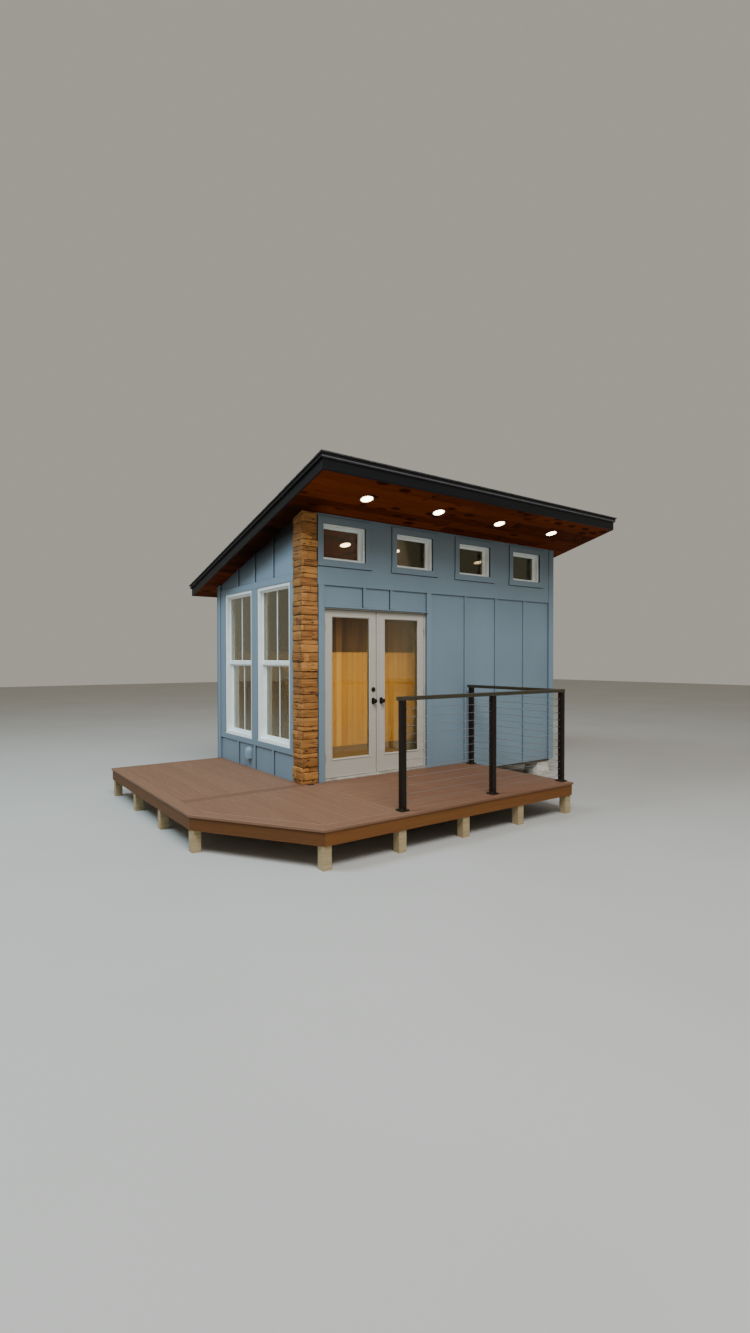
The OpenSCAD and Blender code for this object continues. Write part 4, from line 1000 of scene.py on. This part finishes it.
def leaf(name, body, x, hinge_x, turn, astragal):
    """A full-light leaf: stiles and rails as one frame with an ogee moulding on both faces round
    the pane, eased edges, a sweep under its foot and a flush astragal where it has one."""
    foot = DECK + LEAF_Z
    face = [(0, 2), (2, 0)]
    bead = [(86, 0), (86.1, -4), (89, -7), (93, -7), (96, -5), (99, -4), (104, 2), (104, 13)]
    behind = [(104, 31), (104, 42), (99, 47), (93, 50), (89, 50), (86.1, 48), (86, 44)]
    section = face + bead + behind + [(2, 44), (0, 42)]
    into_leaf = plane(X, Z, Y, (x, LEAF_Y, foot))
    parts = [framed(section, (0.0, 0.0), (LEAF_W, LEAF_H), into_leaf, (0.0, 124.0, 0.0, -16.0))]
    if astragal:
        profile = [(-29, 0), (-29, -4), (-26, -6), (-10, -6), (-7, -4), (-2, -3), (-0.5, 0)]
        profile += [(-0.5, 44), (-29, 44)]
        parts.append(straight(profile, foot, foot + LEAF_H, plane(X, Y, Z, (x, LEAF_Y, 0.0))))
    before = plane(X, Z, -Y, (x, LEAF_Y - 2.4, foot))
    sweep = rect(3.0, 3.0, LEAF_W - 3.0, 26.0)
    parts.append(board(sweep, -2.0, -0.2, before, 0.4, nailed=0.0))
    make(name + "_frame", parts, DOOR_PAINT, [name], body)
    knuckles = []
    for level in np.linspace(200.0, LEAF_H - 262.0, 3):
        z0 = foot + level + 34.0
        profile = [(5.2, z0), (6.0, z0 + 0.6), (6.0, z0 + 33.4), (5.2, z0 + 34.0)]
        knuckles.append(turned(profile, (hinge_x, 0.0, 0.0), Z, X, 20))
        plate = rect(0.0, 0.0, 19.0, 34.0) * [turn, 1.0] + [hinge_x, z0]
        knuckles.append(board(plate, -12.0, -3.0, plane(X, Z, -Y, (0.0, 0.0, 0.0)), 0.3))
    make(name + "_hinge_leaves", knuckles, HINGE, (), body)


def doors():
    """The two leaves, their knobs and the deadbolt, and the threshold."""
    leaf("left_leaf", "left_door", LEFT_LEAF_X, LEFT_LEAF_X - 2.5, 1.0, False)
    leaf("right_leaf", "right_door", RIGHT_LEAF_X, RIGHT_LEAF_X + LEAF_W + 2.5, -1.0, True)
    rose = [(52, 86, 0), (52, 86, -3), (49, 83, -6), (44, 78, -8), (40, 74, -8.2)]
    knob = [(13, 7), (11.5, 10), (10.5, 18), (11, 26), (15, 31), (21, 35), (26, 41), (28, 48)]
    knob += [(27, 55), (22, 61), (14, 64.2), (5, 65)]
    bolt = [(30, 0), (30, 6), (28, 10), (24, 12), (20, 12.2), (20, 17), (18, 19.5), (8, 20)]
    for side, x in (("left", LEFT_LEAF_X + LEAF_W - 43.0), ("right", RIGHT_LEAF_X + 43.0)):
        centre = (x, LEAF_Y, DECK + 938.0)
        rings = []
        for wide, high, depth in rose:
            u, v = rounded(wide, high, wide / 2 - 0.01, 8).T
            rings.append(plane(X, Z, Y, centre)(u, v, np.full(len(u), depth)))
        parts = [loft(rings), turned(knob, centre, -Y, X)]
        if side == "left":
            parts.append(turned(bolt, (x, LEAF_Y, DECK + 1083.0), -Y, X))
        name = side + "_handle"
        body = side + "_door"
        make(name + "_set", parts, HARDWARE, [name], body, smooth=40.0)
    sill = [(-32, 0), (-32, 12.5), (-26, 14)]
    for start in np.arange(-22.0, 6.0, 7.0):
        rise = 14.0 + (start + 32.0) * 0.25
        ridge = ((0, 0), (1, 1.6), (3, 1.8), (4, 0.4))
        sill += [(start + across, rise + up) for across, up in ridge]
    sill += [(12, 25), (60, 25), (62, 29), (82, 29), (84, 25), (125, 25), (125, 0)]
    parts = [straight(sill, DOOR_X, DOOR_X + DOOR_W, plane(Y, Z, X))]
    make("threshold_sill", parts, MILL_ALUMINIUM, ["threshold"])


# Roof


def soffit_boards():
    """Tongue-and-groove boards along X under the whole roof, with V joints and staggered ends."""
    x0, x1 = ROOF_X0 + FASCIA_T + 1.0, ROOF_X1 - FASCIA_T - 1.0
    y0, y1 = ROOF_Y0 + FASCIA_T + 1.0, ROOF_Y1 - FASCIA_T - 1.0
    parts = []
    edges = np.append(np.arange(y0, y1 - 40.0, 136.0), y1)
    for low, high in zip(edges[:-1], edges[1:]):
        ends = [x0]
        while x1 - ends[-1] > 2600.0:
            ends.append(ends[-1] + random.uniform(1300.0, 2500.0))
        ends.append(x1)
        for a, b in zip(ends[:-1], ends[1:]):
            outline = rect(a + 0.3, low + 0.3, b - 0.3, high - 0.3)
            parts.append(board(outline, -14.0, 0.0, under_roof, 3.0))
    make("soffit_boards", parts, SOFFIT_STAIN, ["soffit"])


def soffit_lights():
    """Round fittings under the soffit, outside and inside: a turned white trim and a shallow
    domed lens."""
    tilt = math.atan(SLOPE)
    down = np.array([0.0, -math.sin(tilt), -math.cos(tilt)])
    trim = [(68, -7), (82, -7), (82.5, 1), (81, 3.4), (78, 4), (72, 3.4), (69, 1.5), (68, -1)]
    lens = [(68.5, -5), (68.5, 0.5), (60, 1.8), (45, 2.8), (25, 3.4), (8, 3.6)]
    centres = [(x, y, soffit_z(y)) for x, y in [(x, -487.0) for x in CLERE_X] + INNER_LIGHTS]
    trims, lenses = [], []
    for centre in centres:
        trims.append(turned(trim, centre, down, X, 48, True))
        lenses.append(turned(lens, centre, down, X, 48))
    make("soffit_light_trims", trims, LAMP_TRIM, (), smooth=40.0)
    make("soffit_light_lenses", lenses, LENS, ["soffit_lights"], smooth=40.0)


def roof_ring(out, thick, low, high, chamfer):
    """Four boards round the roof between two heights over the soffit, mitred at the corners."""
    x0, y0, x1, y1 = ROOF_X0 - out, ROOF_Y0 - out, ROOF_X1 + out, ROOF_Y1 + out
    outer = rect(x0, y0, x1, y1)
    inner = rect(x0 + thick, y0 + thick, x1 - thick, y1 - thick)
    parts = []
    for i in range(4):
        j = (i + 1) % 4
        direction = outer[j] - outer[i]
        outline = inset(anticlockwise([outer[i], outer[j], inner[j], inner[i]]), 0.3)
        parts.append(board(outline, low, high, on_roof, chamfer, direction, 0.0))
    return parts


def roof_edge():
    """Fascia boards with a groove line, and the folded metal drip edge over them."""
    fascia = roof_ring(0.0, FASCIA_T, 0.0, FASCIA_H - 1.0, 1.5)
    make("fascia_boards", fascia, DARK_FASCIA, ["fascia"])
    parts = roof_ring(6.0, 6.0, FASCIA_H - 46.0, FASCIA_H + 4.0, 1.0)
    parts += roof_ring(20.0, 39.0, FASCIA_H + 1.0, FASCIA_H + 8.0, 1.0)
    parts += roof_ring(20.0, 3.0, FASCIA_H - 22.0, FASCIA_H + 7.0, 0.5)
    lips = roof_ring(22.0, 17.0, FASCIA_H - 36.0, FASCIA_H - 22.0, 1.5)
    # The lip on the left side gets no painted highlight and stays dark
    parts.append(lips.pop())
    make("drip_edge_metal", parts, DRIP_METAL, ["drip_edge"])
    make("drip_edge_lip", lips, DRIP_LIP_HIGHLIGHT)


def shingle_roof():
    """Courses of laminated tabs, 143 mm to the weather. Each tab is a wedge that is thicker at its
    lower edge: the eight corners of all tabs are worked out as one array."""
    x0, x1 = ROOF_X0 - ROOF_EDGE, ROOF_X1 + ROOF_EDGE
    y0, y1 = ROOF_Y0 - ROOF_EDGE, ROOF_Y1 + ROOF_EDGE
    low, high = SHINGLES_UNDER, SHINGLES_UNDER + 12.0
    spans = []
    for lower in np.arange(y1, y0 + 20.0, -TO_WEATHER):
        upper = max(lower - TO_WEATHER, y0)
        at = x0 - random.uniform(0.0, 150.0)
        while at < x1:
            width = random.uniform(110.0, 330.0)
            if at + width > x0 + 5.0:
                spans.append((max(at, x0), min(at + width - 4.0, x1), upper, lower))
            at += width
    spans = np.array(spans)
    spans = spans[spans[:, 1] - spans[:, 0] > 10.0]
    count = len(spans)
    thick = random.choice([4.2, 6.8], size=count) + random.uniform(-0.4, 0.2, size=count)
    a, b, upper, lower = spans.T
    base = np.full(count, low + 4.6)
    corner = [(a, upper), (b, upper), (b, lower), (a, lower)]
    rise = [base + 1.0, base + 1.0, base + thick, base + thick]
    foot = np.stack([on_roof(u, v, base) for u, v in corner], axis=1)
    top = np.stack([on_roof(u, v, w) for (u, v), w in zip(corner, rise)], axis=1)
    points = np.concatenate([foot, top], axis=1).reshape(-1, 3)
    one = [[3, 2, 1, 0], [4, 5, 6, 7], [0, 1, 5, 4], [1, 2, 6, 5], [2, 3, 7, 6], [3, 0, 4, 7]]
    faces = (np.array(one)[None] + 8 * np.arange(count)[:, None, None]).reshape(-1, 4)
    tone = np.repeat(random.random(count), 8)
    parts = [(points, [faces], points / 1000.0, tone, np.zeros(8 * count))]
    parts.append(board(rect(x0, y0, x1, y1), low, low + 4.8, on_roof, 0.5))
    clear = FASCIA_T + 0.1
    inner = rect(ROOF_X0 + clear, ROOF_Y0 + clear, ROOF_X1 - clear, ROOF_Y1 - clear)
    parts.append(board(inner, FASCIA_H + 0.1, low + 0.5, on_roof, 0.5))
    cap_spans = np.append(np.arange(x0, x1 - 150.0, TO_WEATHER), x1)
    for left, right in zip(cap_spans[:-1], cap_spans[1:]):
        outline = rect(left, y0, right - 2.0, y0 + 150.0)
        parts.append(board(outline, low + 4.0, high - 0.2, on_roof, 1.5))
    make("shingle_courses", parts, SHINGLE, ["shingles"])


# Deck


def deck_outline(inward):
    """The deck's outline drawn in by a distance, from the back left corner anticlockwise."""
    long = math.hypot(CUT_X, CUT_Y)
    left, front = DECK_LEFT + inward, DECK_FRONT + inward
    right, back = DECK_RIGHT - inward, DECK_BACK - inward
    low = [left, DECK_FRONT + CUT_Y + inward * (long - CUT_Y) / CUT_X]
    near = [DECK_LEFT + CUT_X + inward * (long - CUT_X) / CUT_Y, front]
    corners = [[left, back], low, near, [right, front], [right, -DECK_GAP], [-DECK_GAP, back]]
    return np.array(corners)


def border_runs(outer, inner):
    """Outlines of the mitred boards along the back, left, slanted, front and right edges."""
    runs = []
    for i, j in ((5, 0), (0, 1), (1, 2), (2, 3), (3, 4)):
        quad = anticlockwise([outer[i], outer[j], inner[j], inner[i]])
        runs.append((inset(quad, 0.6), outer[j] - outer[i]))
    return runs


def laid(outline, along=ALONG_V, top=0.0):
    """A deck board whose face is the deck's surface, and whose grain runs along Y unless told."""
    return board(outline, -BOARD_T, top, on_deck, 2.5, along, 0.0)


def deck_surface():
    """Border boards, the breaker board and three fields of boards, each board cut by the border."""
    outer, inner = deck_outline(0.0), deck_outline(BOARD_W)
    inner[4] = [DECK_RIGHT - BOARD_W, -DECK_GAP]
    parts = [laid(run, along) for run, along in border_runs(outer, inner)]
    make("deck_border_boards", parts, COMPOSITE, ["deck_border"])
    pitch = BOARD_W + BOARD_GAP
    slant = deck_outline(pitch)
    left, front = DECK_LEFT + pitch, DECK_FRONT + pitch
    breaker = BOARD_W / 2 - BOARD_GAP
    parts = [laid(rect(left, breaker - BOARD_W, -DECK_GAP, breaker), ALONG_U, -0.3)]
    # A board from another batch, a little darker and redder
    parts[0][3][:] = -2.5
    parts[0][4][:] = 0.2
    for x in np.arange(left, -DECK_GAP - 10.0, pitch):
        right = min(x + BOARD_W, -DECK_GAP)
        parts.append(laid(rect(x, breaker + BOARD_GAP, right, DECK_BACK - pitch)))
    for x in np.arange(left, DECK_JOINT - 10.0, pitch):
        right = min(x + BOARD_W, DECK_JOINT)
        if x < -DECK_GAP < right:
            parts.append(laid(rect(-DECK_GAP, breaker - pitch, right, -DECK_GAP)))
        parts.append(laid(cut(rect(x, front, right, breaker - pitch), slant[1], slant[2])))
    for y in np.arange(front, -DECK_GAP - 10.0, pitch):
        top = min(y + BOARD_W, -DECK_GAP)
        outline = rect(DECK_JOINT + BOARD_GAP, y, DECK_RIGHT - pitch, top)
        parts.append(laid(outline, ALONG_U))
    make("deck_field_boards", parts, COMPOSITE, ["deck_boards"])


def deck_edge():
    """Composite fascia boards under the nose of the deck, mitred at its corners."""
    nose, back, end = 12.0, 26.0, -20.0
    outer, inner = deck_outline(nose), deck_outline(back)
    outer[4], inner[4] = [DECK_RIGHT - nose, end], [DECK_RIGHT - back, end]
    outer[5], inner[5] = [end, DECK_BACK - nose], [end, DECK_BACK - back]
    parts = []
    for outline, along in border_runs(outer, inner):
        parts.append(board(outline, -FASCIA_DROP, -BOARD_T - 0.2, on_deck, 1.5, along, 0.0))
    # The left and slanted boards are darkened with painted shade, as they face away from the light
    for part in parts[1:3]:
        part[4][:] = 0.34
    by_front = rect(end, end, DECK_RIGHT - back, end - 14.0)
    by_side = rect(end - 14.0, DECK_BACK - back, end, end)
    for outline in (by_front, by_side):
        parts.append(board(outline, -FASCIA_DROP, -BOARD_T - 0.2, on_deck, 1.5, nailed=0.0))
    make("deck_fascia_boards", parts, COMPOSITE_EDGE, ["deck_fascia"])


def piers():
    """Cast pier blocks: square rings with cut corners, drawn in from foot to top, with eased
    arrises at both ends."""
    rings = [rounded(size, size, 9.0, 2) for size in (294.0, 300.0, 231.0, 224.0)]
    parts = []
    for x in np.linspace(150.0, POD_W - 150.0, 4):
        for y in np.linspace(150.0, POD_D - 150.0, 3):
            parts.append(loft(upright(rings, (0.0, 4.0, 203.0, 207.0), (x, y, 0.0))))
    make("cast_pier_blocks", parts, CONCRETE, ["pier_blocks"], smooth=30.0)


# Railing


def railing():
    """Square powder-coated posts on bolted base plates, and a flat top rail."""
    tubes = [rounded(POST_W, POST_W, 4.0)] * 2
    plates = [rounded(size, size, 6.0) for size in (102.0, 102.0, 99.0)]
    collars = [rounded(size, size, 5.0) for size in (68.0, 68.0, 60.0, 57.5)]
    bolt = [circle(6.5, 6), circle(6.5, 6), circle(5.0, 6)]
    parts = []
    for x, y in RAIL_POSTS:
        pieces = [(tubes, [2.0, RAIL_H - RAIL_T], x, y), (plates, [0.0, 8.0, 10.0], x, y)]
        pieces.append((collars, [9.0, 12.0, 18.0, 22.0], x, y))
        for u, v in rect(x - 40.0, y - 40.0, x + 40.0, y + 40.0)[[0, 3, 1, 2]]:
            pieces.append((bolt, [9.0, 14.0, 15.5], u, v))
        parts += [loft(upright(rings, levels, (u, v, DECK))) for rings, levels, u, v in pieces]
    make("railing_posts", parts, BRONZE, ["rail_posts"], smooth=35.0)
    middle = DECK + RAIL_H - RAIL_T / 2
    start = RAIL_POSTS[0][0] - POST_W / 2 - 24.0
    end = RAIL_POSTS[3][1] + POST_W / 2 + 24.0
    path = [(start, RAIL_FRONT, middle), (RAIL_LINE, RAIL_FRONT, middle), (RAIL_LINE, end, middle)]
    rail = swept(rounded(RAIL_W, RAIL_T, 5.0), path)
    make("railing_top", [rail], RAIL_REFLECTION, ["rail_top"], smooth=35.0)


def cables():
    """Wire rope from post to post, with a swaged stud and a hexagon nut wherever a run ends."""
    half = POST_W / 2
    left, middle = RAIL_POSTS[0][0] + half, RAIL_POSTS[1][0]
    runs = [((left, RAIL_FRONT), (middle - half, RAIL_FRONT), True, False)]
    runs.append(((middle + half, RAIL_FRONT), (RAIL_LINE - half, RAIL_FRONT), False, True))
    runs.append(((RAIL_LINE, RAIL_FRONT + half), (RAIL_LINE, RAIL_POSTS[3][1] - half), True, True))
    stud = [(3.4, 10), (3.4, 14), (3.4, 38), (2.6, 42)]
    nut = [(5.5, 0), (5.5, 10), (4.2, 13)]
    ropes, studs = [], []
    for i in range(1, CABLES + 1):
        z = DECK + RAIL_H - RAIL_T - i * CABLE_PITCH
        for start, end, at_start, at_end in runs:
            start, end = np.array([*start, z]), np.array([*end, z])
            length = np.linalg.norm(end - start)
            axis = (end - start) / length
            ropes.append(turned([(2.0, 0.0), (2.0, length)], start, axis, Z, 8))
            for origin, way, wanted in ((start, axis, at_start), (end, -axis, at_end)):
                if wanted:
                    studs.append(turned(nut, origin, way, Z, 6))
                    studs.append(turned(stud, origin, way, Z, 10))
    make("railing_wire_rope", ropes, ROPE, ["cables"], smooth=60.0)
    make("railing_cable_studs", studs, STEEL, (), smooth=40.0)


def vent():
    """A painted wall vent: a plate and a half-dome hood, whose half-round rings grow from its crown
    down to its open foot and shrink again inside."""
    outline = rect(VENT_Y - 75.0, VENT_Z - 89.0, VENT_Y + 75.0, VENT_Z + 89.0)
    plate = board(outline, 0.0, 4.0, on_left, 1.0)
    centre = np.array([0.0, VENT_Y, DECK + VENT_Z])
    turn = np.linspace(-math.pi / 2, math.pi / 2, 15)
    grown = [(0.1, 78.0), (0.45, 72.0), (0.75, 55.0), (0.93, 28.0), (1.0, -8.0), (1.0, -79.0)]
    # Down over the outside, then up again inside the shell to its throat, darkened by painted shade
    grown += [(0.95, -79.0), (0.95, -10.0), (0.7, 40.0), (0.1, 60.0)]
    rings, shade = [], []
    for i, (share, height) in enumerate(grown):
        out = -VENT_OUT * share * np.cos(turn) - 3.9
        across = VENT_R * share * np.sin(turn)
        rings.append(np.column_stack([out, across, np.full(15, height)]) + centre)
        shade.append(np.full(15, 0.0 if i < 6 else 1.0))
    dome = loft(rings, joint=np.array(shade))
    make("vent_dome", [plate, dome], BLUE_PAINT, ["vent_hood"], smooth=40.0)


front_trim()
clerestory_casings()
left_trim()
far_trim()
stacked_corner()
clerestory_windows()
side_windows()
doors()
soffit_boards()
soffit_lights()
roof_edge()
shingle_roof()
deck_surface()
deck_edge()
piers()
railing()
cables()
vent()


# Studio


def studio():
    """A pale floor and sky, a broad lamp high off the front left corner, a cooler one over the
    left side, and a lamp under each of the inside lights that lights the room."""
    mesh = bpy.data.meshes.new("studio_floor")
    corners = np.column_stack([rect(-40.0, -40.0, 40.0, 40.0), np.zeros(4)])
    mesh.from_pydata(corners.tolist(), [], [(0, 1, 2, 3)])
    material, tree, place = new_finish("studio_floor", {"Roughness": 0.9})
    shade = add(tree, "MapRange", pattern(tree, place, 0.4, 2.0), 0.3, 0.7)
    mesh.materials.append(finished(material, layered(tree, "#B2B0AB", (shade, "#B8B6B1"))))
    floor = bpy.data.objects.new("studio_floor", mesh)
    bpy.context.scene.collection.objects.link(floor)
    world = bpy.data.worlds.new("studio")
    bpy.context.scene.world = world
    world.use_nodes = True
    sky = world.node_tree.nodes["Background"]
    sky.inputs["Color"].default_value = linear("#E5DFD1")
    sky.inputs["Strength"].default_value = 0.5
    add_lamp("key", 1690.0, (0.96, 0.98, 1.0), 6.0, (-4.5, -8.6, 11.5), (0.5, 0.3, 1.2))
    add_lamp("left_fill", 1120.0, (0.62, 0.85, 1.0), 4.0, (-9.0, 1.5, 11.0), (-1.6, 0.5, 1.5))
    for i, (x, y) in enumerate(INNER_LIGHTS):
        place = metres([x, y, soffit_z(y) - 30.0])
        energy = 66.0 if i == 0 else 38.0
        lamp = add_lamp("room_%d" % i, energy, (1.0, 0.9, 0.74), 0.12, place, place - Z)
        lamp.spread = math.radians(130.0)


add_camera()
studio()

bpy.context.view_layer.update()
